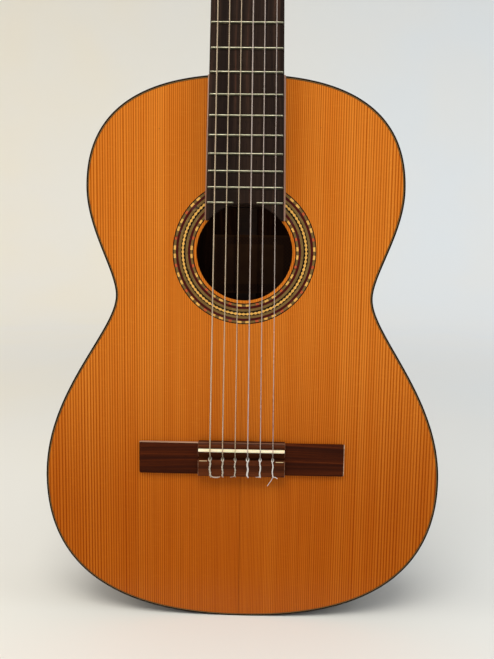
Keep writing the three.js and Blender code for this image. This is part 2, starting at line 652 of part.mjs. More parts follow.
const rollerOf = (i) => (i < 3 ? i : 5 - i);

// A string runs from its hole in the tie block over the saddle and the nut, and ends where it
// touches its roller.
function guitarString(i) {
  const radius = STRING_RADII[i];
  const saddleX = stringX(i, STRING_SPACING.saddle);
  const nutX = stringX(i, STRING_SPACING.nut);
  const overNut = new THREE.Vector3(nutX, -NUT.top - radius - GLUE, NUT_Z + NUT.bearing);
  const flat = overNut.clone().sub(new THREE.Vector3(0, 0, HEAD_Z));
  flat.applyAxisAngle(new THREE.Vector3(1, 0, 0), HEAD_TILT);
  const centreV = ROLLER.v0 + rollerOf(i) * ROLLER.pitch;
  const reach = ROLLER.radius + radius + GAP;
  const run = { y: ROLLER.depth - flat.y, z: centreV - flat.z };
  const length = Math.hypot(run.y, run.z);
  const bearing = Math.atan2(run.y, run.z) - Math.asin(reach / length);
  const tangent = Math.sqrt(length ** 2 - reach ** 2);
  const touch = new THREE.Vector3(WINDING_LANES[i], flat.y + tangent * Math.sin(bearing),
    flat.z + tangent * Math.cos(bearing));
  touch.applyAxisAngle(new THREE.Vector3(1, 0, 0), -HEAD_TILT).add(new THREE.Vector3(0, 0, HEAD_Z));
  const points = [
    new THREE.Vector3(saddleX, -STRING_HOLE.height, BRIDGE_BLOCK.z0 + 1),
    new THREE.Vector3(saddleX, -STRING_HOLE.height, BRIDGE_CHANNEL.back + 0.5),
    new THREE.Vector3(saddleX, -SADDLE.top - radius - GLUE, SADDLE_Z - SADDLE.width / 2),
    new THREE.Vector3(saddleX, -SADDLE.top - radius - GLUE, SADDLE_Z + SADDLE.width / 2),
    overNut,
    touch,
  ];
  return wire(points, radius);
}

// ---- Tuners, in the head's frame: x across, y back from the head's face, z up from the nut --

const rollerV = (i) => ROLLER.v0 + i * ROLLER.pitch;

// The gear's outline: teeth with straight flanks, one of them pointing down at the worm.
function gearShape() {
  const shape = new THREE.Shape();
  const step = (2 * Math.PI) / GEAR.teeth;
  const corners = [
    [-TOOTH.root, GEAR.root], [-TOOTH.tip, GEAR.tip], [TOOTH.tip, GEAR.tip], [TOOTH.root, GEAR.root],
  ];
  for (let tooth = 0; tooth < GEAR.teeth; tooth++) {
    for (const [offset, radius] of corners) {
      const angle = (tooth + offset) * step - Math.PI / 2;
      const corner = [radius * Math.cos(angle), radius * Math.sin(angle)];
      if (tooth === 0 && offset === corners[0][0]) {
        shape.moveTo(...corner);
      } else {
        shape.lineTo(...corner);
      }
    }
  }
  return shape;
}

// Roller and gear: the bone barrel that holds the string, its steel shaft through the side
// plate and the gear on the shaft's end. The teeth follow the worm's lead.
function roller(sign, i) {
  const v = rollerV(i);
  const along = (from, to) => [sign * from, sign * to].sort((a, b) => a - b);
  const barrel = rod('x', ...along(ROLLER.innerX, ROLLER.outerX), ROLLER.radius, ROLLER.depth, v, 12);
  const shaft = rod('x', ...along(ROLLER.outerX - 1, GEAR.x1 + 0.8), ROLLER.shaft, ROLLER.depth, v, 8);
  const width = GEAR.x1 - GEAR.x0;
  const gear = new THREE.ExtrudeGeometry(gearShape(), { depth: width, bevelEnabled: false });
  const lead = WORM.pitch / (2 * Math.PI * WORM.pitchRadius);
  const pitchRadius = WORM_OFFSET - WORM.pitchRadius;
  warp(gear, (y, z, x) => {
    const turn = ((x - width / 2) * lead) / pitchRadius;
    const turnedY = y * Math.cos(turn) - z * Math.sin(turn);
    const turnedZ = y * Math.sin(turn) + z * Math.cos(turn);
    const middle = sign * WORM.x;
    return [middle + x - width / 2, ROLLER.depth + turnedY, v + turnedZ];
  });
  return surface(join([barrel, shaft, gear]));
}

// Worm and button: a right-handed thread on a shaft that runs back past the head to the button.
function worm(sign, i) {
  const v = rollerV(i) - WORM_OFFSET;
  const x = sign * WORM.x;
  const turns = (WORM.y1 - WORM.y0) / WORM.pitch;
  const rootRadius = WORM.root - THREAD.sunk;
  const profile = [
    [-THREAD.root, rootRadius], [-THREAD.tip, WORM.tip],
    [THREAD.tip, WORM.tip], [THREAD.root, rootRadius],
  ];
  const rings = [];
  for (let s = 0; s <= Math.round(turns * THREAD.stepsPerTurn); s++) {
    const angle = (2 * Math.PI * s) / THREAD.stepsPerTurn;
    const rise = (WORM.pitch * s) / THREAD.stepsPerTurn;
    rings.push(profile.map(([offset, radius]) => {
      const y = THREAD_START + rise + offset;
      return [x + radius * Math.sin(angle), y, v + radius * Math.cos(angle)];
    }));
  }
  const shaft = rod('y', LUG.front - 1, BUTTON.y, WORM_SHAFT, x, v, 8);
  const core = rod('y', WORM.y0 - 1, WORM.y1 + 1, WORM.root, x, v, 8);
  const button = new THREE.SphereGeometry(1, 8, 5);
  button.scale(BUTTON.halfThickness, BUTTON.halfLength, BUTTON.halfWidth).translate(x, BUTTON.y, v);
  return surface(join([shaft, core, loft(rings), button]));
}

// A side plate with a hole for each roller's shaft and two bearing lugs for each worm.
function tunerPlate(sign) {
  const across = (from, to) => [sign * from, sign * to].sort((a, b) => a - b);
  const parts = [box(...across(PLATE.x0, PLATE.x1), PLATE.y0, PLATE.y1, PLATE.v0, PLATE.v1)];
  const tools = [];
  for (let i = 0; i < 3; i++) {
    const v = rollerV(i) - WORM_OFFSET;
    for (const y of [LUG.front, LUG.back]) {
      parts.push(box(...across(PLATE.x0, LUG.x1), y, y + LUG.thickness, v - LUG.half, v + LUG.half));
    }
    tools.push(rod('y', -5, 25, LUG.hole, sign * WORM.x, v, 8));
    const hole = across(PLATE.x0 - 1, PLATE.x1 + 1);
    tools.push(rod('x', ...hole, ROLLER.shaft + 0.3, ROLLER.depth, rollerV(i), 10));
  }
  return surface(cut(join(parts), tools));
}

// ---- Assembly ------------------------------------------------------------------------------

add(guitar, 'soundboard', soundboard(), 'spruce');
add(guitar, 'back_plate', backPlate(), 'rosewood');
add(guitar, 'rib_treble', rib(1), 'rosewood');
add(guitar, 'rib_bass', rib(-1), 'rosewood');
add(guitar, 'top_binding', hoop(0, BINDING.width, 0, BINDING.depth), 'rosewood');
add(guitar, 'back_binding', openHoop(0, BINDING.width, BUTTON_TAB.half + GAP,
  behind(GLUE - BINDING.depth), behind(BACK_THICKNESS)), 'rosewood');
const liningOuter = BINDING.width + GAP;
add(guitar, 'top_lining', openHoop(liningOuter, liningOuter + LINING.width, FOOT.half + 2,
  SOUNDBOARD_THICKNESS + GLUE, SOUNDBOARD_THICKNESS + LINING.depth), 'cedar');
add(guitar, 'back_lining', openHoop(liningOuter, liningOuter + LINING.width, FOOT.half + 2,
  behind(-LINING.depth), behind(-GAP)), 'cedar');
add(guitar, 'tail_block', tailBlock(), 'cedar');
add(guitar, 'upper_transverse_bar', soundboardBar(BAR.upperZ), 'braceSpruce');
add(guitar, 'lower_transverse_bar', soundboardBar(BAR.lowerZ), 'braceSpruce');
add(guitar, 'fan_bracing', fanBracing(), 'braceSpruce');
add(guitar, 'back_bracing', backBracing(), 'braceSpruce');
add(guitar, 'rosette', ring(ROSETTE.inner, ROSETTE.outer, 0, ROSETTE.thickness), 'mosaic');
add(guitar, 'neck', neck(), 'cedar');
add(guitar, 'fingerboard', fingerboard(), 'ebony');
for (let n = 1; n < FRET_COUNT; n++) {
  const half = neckHalf(fretZ(n)) - FRET.inset;
  add(guitar, `fret_${String(n).padStart(2, '0')}`, fret(n, -half, half), 'nickelSilver');
}
const lastHalf = neckHalf(fretZ(FRET_COUNT)) - FRET.inset;
add(guitar, 'fret_19_bass', fret(FRET_COUNT, -lastHalf, -LAST_FRET_GAP_HALF), 'nickelSilver');
add(guitar, 'fret_19_treble', fret(FRET_COUNT, LAST_FRET_GAP_HALF, lastHalf), 'nickelSilver');
add(guitar, 'nut', nut(), 'bone');
add(guitar, 'bridge', bridge(), 'rosewood');
add(guitar, 'saddle', saddle(), 'bone');
for (let i = 0; i < STRING_RADII.length; i++) {
  add(guitar, `string_${6 - i}`, guitarString(i), i < 3 ? 'woundString' : 'nylonString');
}

add(head, 'head_veneer', headVeneer(), 'rosewood');
add(head, 'tuner_plate_bass', tunerPlate(-1), 'brass');
add(head, 'tuner_plate_treble', tunerPlate(1), 'brass');
for (let i = 0; i < STRING_RADII.length; i++) {
  const sign = i < 3 ? -1 : 1;
  add(head, `string_roller_${6 - i}`, roller(sign, rollerOf(i)), 'bone');
  add(head, `tuner_button_${6 - i}`, worm(sign, rollerOf(i)), 'pearl');
}

head.position.z = HEAD_Z;
head.rotation.x = -HEAD_TILT;
guitar.add(head);
guitar.position.y = -FACE_TO_ORIGIN;

export default new THREE.Group().add(guitar);
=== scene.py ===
"""Classical guitar: the looks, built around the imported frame.

Lengths are millimetres in the guitar's own coordinates: x to the treble side, y back from the
soundboard's face, z up from the tail. Pieces of the head are drawn in the head's coordinates,
where y runs back from the head's face and z runs up from the nut. Both are turned into the
frame's metres when a piece is made. A height is a distance in front of the soundboard's face.
"""

import json
import math

import bmesh
import bpy
import numpy as np
from mathutils import Matrix, Vector
from mathutils.geometry import tessellate_polygon


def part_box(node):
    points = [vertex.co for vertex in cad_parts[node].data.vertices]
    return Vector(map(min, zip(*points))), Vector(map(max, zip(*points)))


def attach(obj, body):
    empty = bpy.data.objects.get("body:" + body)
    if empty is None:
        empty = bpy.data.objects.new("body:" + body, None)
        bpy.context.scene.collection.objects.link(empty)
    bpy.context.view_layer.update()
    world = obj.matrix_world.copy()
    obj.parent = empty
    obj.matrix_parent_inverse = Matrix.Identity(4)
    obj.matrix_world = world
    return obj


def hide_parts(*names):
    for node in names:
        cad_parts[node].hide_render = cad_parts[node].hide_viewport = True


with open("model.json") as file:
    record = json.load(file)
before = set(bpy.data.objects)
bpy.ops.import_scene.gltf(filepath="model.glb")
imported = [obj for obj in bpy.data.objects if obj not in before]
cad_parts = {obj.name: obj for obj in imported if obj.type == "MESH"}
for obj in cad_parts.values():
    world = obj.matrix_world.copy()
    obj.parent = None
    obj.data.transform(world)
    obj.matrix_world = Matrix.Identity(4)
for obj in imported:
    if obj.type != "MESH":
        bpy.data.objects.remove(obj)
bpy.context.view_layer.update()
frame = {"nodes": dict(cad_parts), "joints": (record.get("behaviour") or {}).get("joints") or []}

# ---- Places taken from the frame ------------------------------------------------------------

MM = 0.001


def low(node):
    return np.array(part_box(node)[0]) / MM


def high(node):
    return np.array(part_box(node)[1]) / MM


JOINTS = {joint["name"]: joint for joint in frame["joints"]}
FACE_Y = low("top_binding")[1]
BODY_LENGTH = high("top_binding")[2]
NUT_Z = high("fingerboard")[2]
NUT_HALF = high("nut")[0]
BOARD_END_Z = low("fingerboard")[2]
BOARD_END_HALF = high("fingerboard")[0]
BOARD_TOP = FACE_Y - low("fingerboard")[1]
HOLE_Z = (low("rosette")[2] + high("rosette")[2]) / 2
ROSETTE_OUTER = high("rosette")[0]
SADDLE_HALF = high("saddle")[0]
SADDLE_Z = (low("saddle")[2] + high("saddle")[2]) / 2
SADDLE_TOP = FACE_Y - low("saddle")[1]
BRIDGE_HALF = high("bridge")[0]

# ---- Sizes that several parts share ---------------------------------------------------------

# The outline's widest and narrowest places as (half width, height), and how far the handles of
# its four curves reach, from the tail up.
LOWER = (high("top_binding")[0], 130.5)
WAIST = (113.2, 297.0)
UPPER = (138.2, 390.2)
HANDLES = ((142.1, 65.8), (78.5, 31.8), (21.3, 36.4), (86.4, 55.0))
OUTLINE_HALF_COUNT = 200

DEPTH_AT_TAIL = 96.0
DEPTH_AT_HEEL = 90.0
BACK_ARCH = 4.0
BACK_CROSS_RADIUS = 4000.0
PLATE_THICKNESS = 2.5
RIB_THICKNESS = 2.0
BINDING_WIDTH = 1.4
BINDING_DEPTH = 5.0
EDGING_WIDTH = 2.3
SCALE_LENGTH = 650.0
LABEL = {"middle": (7.0, 324.7), "half": (40.0, 29.6)}

STRING_RADII = {6: 0.54, 5: 0.45, 4: 0.37, 3: 0.51, 2: 0.41, 1: 0.36}
SADDLE_SPACING = 11.2
NUT_SPACING = 8.7

# The head's frame: its origin lies on the neck's face just past the nut.
HEAD_TURN = Matrix.Rotation(math.radians(-15.0), 3, "X")
HEAD_ORIGIN = (0.0, 0.0, 816.0)


def in_body(points):
    """Guitar millimetres to frame metres."""
    return (np.asarray(points, float) + (0.0, FACE_Y, 0.0)) * MM


def head_to_body(points):
    return np.asarray(points, float) @ np.array(HEAD_TURN).T + HEAD_ORIGIN


def in_head(points):
    """Head millimetres to frame metres."""
    return in_body(head_to_body(points))


# ---- Curves ---------------------------------------------------------------------------------


def clamp(t):
    return min(max(t, 0.0), 1.0)


def smoothstep(t):
    t = clamp(t)
    return t * t * (3 - 2 * t)


def bulged(value, power):
    """A sine or cosine raised to a power, with its sign kept: below 1 it makes a circle squarer."""
    return math.copysign(abs(value) ** power, value)


def bezier(start, leave, arrive, stop, steps):
    t = np.linspace(0.0, 1.0, steps)[:, None]
    a, b, c, d = (np.asarray(p, float) for p in (start, leave, arrive, stop))
    return (1 - t) ** 3 * a + 3 * (1 - t) ** 2 * t * b + 3 * (1 - t) * t**2 * c + t**3 * d


def respace(points, count):
    """The same open curve with its points evenly spaced."""
    points = np.asarray(points, float)
    lengths = np.linalg.norm(np.diff(points, axis=0), axis=1)
    at = np.concatenate([[0.0], np.cumsum(lengths)])
    wanted = np.linspace(0.0, at[-1], count)
    return np.stack([np.interp(wanted, at, column) for column in points.T], 1)


def smooth_curve(points, count):
    """A curve through a few points, without corners, evenly spaced."""
    p = np.asarray(points, float)
    p = np.vstack([2 * p[0] - p[1], p, 2 * p[-1] - p[-2]])
    t = np.linspace(0.0, 1.0, 24, endpoint=False)[:, None]
    parts = []
    for a, b, c, d in zip(p, p[1:], p[2:], p[3:]):
        bend = (2 * a - 5 * b + 4 * c - d) * t**2 + (3 * b - a - 3 * c + d) * t**3
        parts.append(0.5 * (2 * b + (c - a) * t + bend))
    return respace(np.vstack(parts + [p[-2:-1]]), count)


def straight(start, stop, count):
    start, stop = np.asarray(start, float), np.asarray(stop, float)
    return start + (stop - start) * np.linspace(0.0, 1.0, count)[:, None]


def arc(centre, radius, start, stop, count):
    """Points on a circle, with angles in degrees."""
    angles = np.radians(np.linspace(start, stop, count))
    return np.stack([centre[0] + radius * np.cos(angles), centre[1] + radius * np.sin(angles)], 1)


def turn_angles(count):
    return np.linspace(0.0, 2 * math.pi, count, endpoint=False)


def offset_loop(loop, distance):
    """A closed counter-clockwise loop moved inwards."""
    ahead = np.roll(loop, -1, 0) - loop
    behind = loop - np.roll(loop, 1, 0)
    ahead /= np.linalg.norm(ahead, axis=1)[:, None]
    behind /= np.linalg.norm(behind, axis=1)[:, None]
    normal = np.stack([-(ahead + behind)[:, 1], (ahead + behind)[:, 0]], 1)
    normal /= np.linalg.norm(normal, axis=1)[:, None]
    spread = (normal * np.stack([-ahead[:, 1], ahead[:, 0]], 1)).sum(1)
    return loop + normal * (distance / np.maximum(spread, 0.4))[:, None]


def without_repeats(loop):
    """The loop without points that lie on the one before them."""
    return loop[[i for i in range(len(loop)) if np.linalg.norm(loop[i] - loop[i - 1]) > 0.01]]


def half_outline():
    """The treble half of the body's outline, from the tail to the neck joint."""

    def above(point, rise):
        return (point[0], point[1] + rise)

    (tail, a), (b, c), (d, e), (f, neck) = HANDLES
    top = (0, BODY_LENGTH)
    parts = [
        bezier((0, 0), (tail, 0), above(LOWER, -a), LOWER, 400),
        bezier(LOWER, above(LOWER, b), above(WAIST, -c), WAIST, 400),
        bezier(WAIST, above(WAIST, d), above(UPPER, -e), UPPER, 400),
        bezier(UPPER, above(UPPER, f), (neck, BODY_LENGTH), top, 400),
    ]
    return respace(np.vstack(parts), OUTLINE_HALF_COUNT + 1)


HALF = half_outline()
OUTLINE = np.vstack([HALF, HALF[-2:0:-1] * (-1.0, 1.0)])


def back_depth(x, z):
    """Depth of the back plate's inner face."""
    t = z / BODY_LENGTH
    taper = DEPTH_AT_TAIL + (DEPTH_AT_HEEL - DEPTH_AT_TAIL) * t
    return taper + BACK_ARCH * 4 * t * (1 - t) - x * x / (2 * BACK_CROSS_RADIUS)


def at_depth(loop, depth):
    """(x, z) points put at one depth, or each at its own."""
    return np.stack([loop[:, 0], np.broadcast_to(depth, len(loop)), loop[:, 1]], 1)


def at_back(loop, offset):
    """(x, z) points put on the back plate's inner face, moved back by an offset."""
    return at_depth(loop, back_depth(loop[:, 0], loop[:, 1]) + offset)


# ---- Closed solids as vertices and faces ----------------------------------------------------


class Solid:
    """Vertices in millimetres, faces, and the index of each face's material."""

    def __init__(self, vertices, faces, mark=0):
        self.vertices = np.asarray(vertices, float).reshape(-1, 3)
        self.faces = [tuple(int(i) for i in face) for face in faces]
        self.marks = [mark] * len(self.faces)

    def paint(self, mark, test):
        """Gives another material to the faces whose middle passes a test."""
        for i, face in enumerate(self.faces):
            if test(*self.vertices[list(face)].mean(0)):
                self.marks[i] = mark


def merged(solids):
    whole = Solid(np.vstack([solid.vertices for solid in solids]), [])
    start = 0
    for solid in solids:
        whole.faces += [tuple(i + start for i in face) for face in solid.faces]
        whole.marks += solid.marks
        start += len(solid.vertices)
    return whole


def band(a, b, count):
    """The faces between two rings whose points start at the indices a and b."""
    return [(a + i, a + (i + 1) % count, b + (i + 1) % count, b + i) for i in range(count)]


def loft(rings, closed=False, mark=0):
    """A surface through rings of equal count: capped at its ends, or closed on itself."""
    rings = np.asarray(rings, float)
    rows, count = rings.shape[:2]
    faces = []
    for r in range(rows if closed else rows - 1):
        faces += band(r * count, ((r + 1) % rows) * count, count)
    if not closed:
        faces.append(range(count - 1, -1, -1))
        faces.append([(rows - 1) * count + i for i in range(count)])
    return Solid(rings, faces, mark)


def slab(outer, holes, place, bevel=0.0):
    """A flat plate from an outer loop and hole loops, each a list of 2-D points.

    place(points, side, shift) puts 2-D points on the front face (side 0) or the back face
    (side 1), moved back by shift. The edges of both faces are cut off by the bevel.
    """
    loops = [np.asarray(loop, float) for loop in (outer, *holes)]
    vertices = []
    faces = []
    caps = ([], [])
    start = 0
    for k, loop in enumerate(loops):
        ahead = np.roll(loop, -1, 0)
        area = np.sum(loop[:, 0] * ahead[:, 1] - ahead[:, 0] * loop[:, 1])
        if (area > 0) != (k == 0):
            loop = loop[::-1]
        inner = offset_loop(loop, bevel)
        rings = [(inner, 0, 0.0), (loop, 0, bevel), (loop, 1, -bevel), (inner, 1, 0.0)]
        count = len(loop)
        vertices += [place(*ring) for ring in rings]
        for a in (start, start + count, start + 2 * count):
            faces += band(a, a + count, count)
        caps[0].append((inner, start))
        caps[1].append((inner, start + 3 * count))
        start += 4 * count
    for parts in caps:
        index = np.concatenate([np.arange(len(p)) + s for p, s in parts])
        flat = [[Vector((x, y, 0.0)) for x, y in p] for p, _ in parts]
        faces += [index[list(triangle)] for triangle in tessellate_polygon(flat)]
    return Solid(np.vstack(vertices), faces)


def across(axis, near, far):
    """For slab: its faces lie across an axis, at near and far.

    The 2-D points are (z, height) across x, (x, z) across y and (x, height) across z.
    """

    def place(points, side, shift):
        a, b = points.T
        level = np.full(len(points), (far if side else near) + shift)
        return np.stack({"x": (level, -b, a), "y": (a, level, b), "z": (a, -b, level)}[axis], 1)

    return place


def tube(points, radius, sides=10):
    """A round bar along a curve, with frames carried along it."""
    points = np.asarray(points, float)
    tangents = np.gradient(points, axis=0)
    tangents /= np.linalg.norm(tangents, axis=1)[:, None]
    side = np.cross(tangents[0], (0.0, 1.0, 0.0))
    if np.linalg.norm(side) < 0.1:
        side = np.cross(tangents[0], (1.0, 0.0, 0.0))
    rings = []
    for p, t in zip(points, tangents):
        side = side - t * side.dot(t)
        side /= np.linalg.norm(side)
        up = np.cross(t, side)
        rings.append([p + radius * (math.cos(a) * side + math.sin(a) * up) for a in turn_angles(sides)])
    return loft(rings)


def revolve(profile, origin, axis, sides):
    """A profile of (distance along, radius) points turned about the x or y axis."""
    axis = np.asarray(axis, float)
    side = np.cross(axis, (0.0, 0.0, 1.0))
    up = np.cross(axis, side)
    rings = []
    for d, r in profile:
        middle = np.asarray(origin) + axis * d
        rings.append([middle + r * (math.cos(a) * side + math.sin(a) * up) for a in turn_angles(sides)])
    return loft(rings)


# ---- Making pieces --------------------------------------------------------------------------


def along_body(x, y, z):
    """Grain that runs up the guitar."""
    return (x, z, y)


def across_body(x, y, z):
    """Grain that runs across the guitar."""
    return (z, x, y)


def piece(name, solid, looks, replaces=(), body="root", grain=along_body, place=in_body, crease=35.0):
    """Makes a mesh object from a solid, gives it grain coordinates, and puts it on its body.

    looks names the materials, in the order of the solid's marks.
    """
    mesh = bpy.data.meshes.new(name)
    mesh.from_pydata(place(solid.vertices).tolist(), [], solid.faces)
    mesh.polygons.foreach_set("material_index", solid.marks)
    for look in looks.split():
        mesh.materials.append(LOOKS[look])
    coordinates = np.array([grain(*v) for v in solid.vertices], np.float32)
    attribute = mesh.attributes.new("Grain", "FLOAT_VECTOR", "POINT")
    attribute.data.foreach_set("vector", coordinates.ravel())
    mesh.polygons.foreach_set("use_smooth", [True] * len(mesh.polygons))
    mesh.validate()
    make_outward(mesh)
    mesh.set_sharp_from_angle(angle=math.radians(crease))
    made = bpy.data.objects.new(name, mesh)
    bpy.context.scene.collection.objects.link(made)
    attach(made, body)
    if replaces:
        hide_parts(*replaces.split())


def head_piece(name, solid, looks, replaces=(), body="root", crease=35.0):
    """A piece drawn in the head's coordinates."""
    piece(name, solid, looks, replaces, body, place=in_head, crease=crease)


def make_outward(mesh):
    work = bmesh.new()
    work.from_mesh(mesh)
    bmesh.ops.remove_doubles(work, verts=work.verts, dist=1e-7)
    bmesh.ops.recalc_face_normals(work, faces=work.faces)
    work.to_mesh(mesh)
    work.free()


# ---- Node helpers ---------------------------------------------------------------------------

# The materials made here, by name. The CAD brings its own, and two of those have the same names.
LOOKS = {}


class Tree:
    """A material's node tree, with short calls for the nodes that the materials use."""

    def __init__(self, name):
        LOOKS[name] = bpy.data.materials.new(name)
        LOOKS[name].use_nodes = True
        self.nodes = LOOKS[name].node_tree.nodes
        self.links = LOOKS[name].node_tree.links
        self.nodes.clear()

    def put(self, socket, value):
        if isinstance(value, bpy.types.NodeSocket):
            self.links.new(value, socket)
        else:
            socket.default_value = value

    def node(self, kind, inputs=None, **settings):
        made = self.nodes.new("ShaderNode" + kind)
        for key, value in settings.items():
            setattr(made, key, value)
        for key, value in (inputs or {}).items():
            self.put(made.inputs[key], value)
        return made

    def math(self, operation, *values):
        return self.node("Math", dict(enumerate(values)), operation=operation).outputs[0]

    def times(self, a, b):
        return self.math("MULTIPLY", a, b)

    def linear(self, value, factor, offset):
        """The value times a factor, plus an offset."""
        return self.math("MULTIPLY_ADD", value, factor, offset)

    def away(self, value, middle=0.0):
        """Distance from the middle."""
        return self.math("ABSOLUTE", self.math("SUBTRACT", value, middle))

    def place(self):
        """The piece's own coordinates, in metres."""
        return self.node("TexCoord").outputs["Object"]

    def grain(self):
        """The mesh's grain coordinates, in millimetres: across, along and through."""
        vector = self.node("Attribute", attribute_name="Grain").outputs["Vector"]
        return self.node("SeparateXYZ", {0: vector}).outputs

    def grain_of_place(self, along):
        """The same for a mesh without grain coordinates, with the grain along x or z."""
        scaled = self.node("VectorMath", {0: self.place(), "Scale": 1.0 / MM}, operation="SCALE").outputs[0]
        x, y, z = self.node("SeparateXYZ", {0: scaled}).outputs
        return (z, x, y) if along == "x" else (x, z, y)

    def vector(self, x, y, z):
        return self.node("CombineXYZ", {0: x, 1: y, 2: z}).outputs[0]

    def noise(self, vector, scale, detail=2.0, roughness=0.5, distortion=0.0):
        inputs = {"Vector": vector, "Scale": scale, "Detail": detail, "Roughness": roughness}
        return self.node("TexNoise", {**inputs, "Distortion": distortion}).outputs[0]

    def fibres(self, grain, across, along, detail=2.0, roughness=0.5, shift=0.0):
        """Noise with feature sizes in millimetres across and along the grain."""
        vector = self.vector(
            self.linear(grain[0], 1.0 / across, shift),
            self.times(grain[1], 1.0 / along),
            self.times(grain[2], 1.0 / across),
        )
        return self.noise(vector, 1.0, detail, roughness)

    def between(self, value, none, full, share=1.0):
        """A smooth step: 0 up to the value none, and share from the value full on."""
        inputs = {"Value": value, "From Min": none, "From Max": full, "To Max": share}
        return self.node("MapRange", inputs, interpolation_type="SMOOTHSTEP").outputs[0]

    def mix(self, factor, a, b, blend="MIX"):
        made = self.node("Mix", data_type="RGBA", blend_type=blend)
        self.put(made.inputs[0], factor)
        for socket, color in ((made.inputs[6], a), (made.inputs[7], b)):
            self.put(socket, (*color, 1.0) if isinstance(color, tuple) else color)
        return made.outputs[2]

    def bump(self, height, distance):
        return self.node("Bump", {"Height": height, "Distance": distance * MM}).outputs[0]

    def finish(self, color, **settings):
        inputs = {key.replace("_", " "): value for key, value in settings.items()}
        surface = self.node("BsdfPrincipled", {"Base Color": color, **inputs})
        self.node("OutputMaterial", {"Surface": surface.outputs[0]})


def scaled(color, factor):
    return tuple(c * factor for c in color)


# ---- Materials ------------------------------------------------------------------------------

# The soundboard's growth rings: their spacing at the seam, and how it grows away from it.
RING_SPACING = 1.2
RING_GROWTH = 0.00843
TOP_LIGHT = (0.60, 0.167, 0.014)
TOP_BRIGHT = (0.69, 0.218, 0.022)
TOP_LATE = (0.34, 0.064, 0.001)
TOP_SILK = (0.75, 0.28, 0.03)


def soundboard_wood():
    """Bookmatched softwood under amber gloss: growth rings close at the seam and wide outside."""
    t = Tree("amber_softwood")
    g = t.grain()
    wander = t.math("SUBTRACT", t.fibres(g, 120.0, 900.0, 1.0), 0.5)
    distance = t.away(t.linear(wander, 2.5, g[0]), -1.2)
    stretch = t.math("LOGARITHM", t.linear(distance, RING_GROWTH, 1.0), math.e)
    ring = t.times(stretch, 1.0 / (RING_GROWTH * RING_SPACING))
    uneven = t.noise(t.vector(t.times(ring, 0.22), 3.7, 0.0), 1.0)
    ring = t.linear(uneven, 1.2, ring)
    phase = t.math("FRACT", ring)
    number = t.math("FLOOR", ring)
    chance = t.node("TexWhiteNoise", {"W": number}, noise_dimensions="1D").outputs[0]
    late = t.times(t.between(phase, 0.42, 0.72), t.between(phase, 1.0, 0.90))
    late = t.times(late, t.linear(chance, 0.30, 0.70))
    bands = t.fibres(g, 16.0, 620.0, 3.0, 0.6, 17.0)
    streaks = t.fibres(g, 0.6, 70.0, 2.0, 0.6, 5.0)
    silk = t.fibres(g, 12.0, 2.0, 2.0, 0.6, 31.0)
    color = t.mix(t.between(bands, 0.3, 0.72), TOP_LIGHT, TOP_BRIGHT)
    color = t.mix(late, color, TOP_LATE)
    color = t.mix(t.between(streaks, 0.4, 0.75, 0.16), color, TOP_LATE)
    color = t.mix(t.between(silk, 0.52, 0.75, 0.10), color, TOP_SILK)
    # The glued seam shows as a thin dark line on the lower body.
    seam = t.times(t.between(t.away(g[0], -1.0), 1.3, 0.15), t.between(g[1], 300.0, 120.0, 0.3))
    color = t.mix(seam, color, (0.20, 0.05, 0.004))
    # Towards the tail the top is darker and redder: partly aged lacquer, partly painted shade for the light
    # that falls off from above.
    color = t.mix(t.between(g[1], 290.0, 80.0, 0.7), color, (0.60, 0.40, 0.0), "MULTIPLY")
    # Beside the neck the top is a little browner and darker: painted shade, the fingerboard's shadow on the
    # top.
    shade_beside_neck = t.times(t.between(g[1], 300.0, 440.0), t.between(t.away(g[0]), 75.0, 30.0, 0.6))
    color = t.mix(shade_beside_neck, color, (0.72, 0.66, 0.50), "MULTIPLY")
    dents = t.node("TexVoronoi", {"Vector": t.vector(g[0], g[1], 0.0), "Scale": 0.021, "Randomness": 1.0})
    dent = t.between(dents.outputs["Distance"], 0.020, 0.008)
    color = t.mix(t.times(dent, 0.5), color, (0.25, 0.07, 0.01))
    t.finish(
        color,
        Roughness=0.5,
        Coat_Weight=0.4,
        Coat_Roughness=t.linear(bands, 0.10, 0.06),
        Coat_IOR=1.45,
        Specular_IOR_Level=0.02,
        Normal=t.bump(t.math("SUBTRACT", t.times(late, 0.5), dent), 0.03),
    )


def hardwood(name, dark, base, light, figure, pores, gloss, roughness, mirrored=False):
    """Dark straight-grained wood: wavering stripes, open pores and a clear finish."""
    t = Tree(name)
    g = t.grain()
    side = t.math("ABSOLUTE", g[0]) if mirrored else g[0]
    warp = t.math("SUBTRACT", t.fibres(g, 45.0, 160.0, shift=3.0), 0.5)
    moved = (t.linear(warp, figure * 3.0, side), g[1], g[2])
    stripe = t.fibres(moved, figure, 260.0, 4.0, 0.62, 11.0)
    fine = t.fibres(moved, figure * 0.16, 60.0, 3.0, 0.6, 29.0)
    pore = t.between(t.fibres(g, 0.28, 6.5, 1.0, 0.5, 47.0), 0.63, 0.72, pores)
    color = t.mix(t.between(stripe, 0.34, 0.66), dark, base)
    color = t.mix(t.between(stripe, 0.55, 0.78, 0.75), color, light)
    color = t.mix(t.between(fine, 0.40, 0.72, 0.40), color, dark)
    color = t.mix(pore, color, scaled(dark, 0.35))
    t.finish(
        color,
        Roughness=t.linear(fine, 0.15, roughness),
        Coat_Weight=gloss,
        Coat_Roughness=t.linear(stripe, 0.08, 0.05),
        Specular_IOR_Level=0.04 + 0.36 * gloss,
        Normal=t.bump(t.math("SUBTRACT", t.times(fine, 0.3), pore), 0.06),
    )


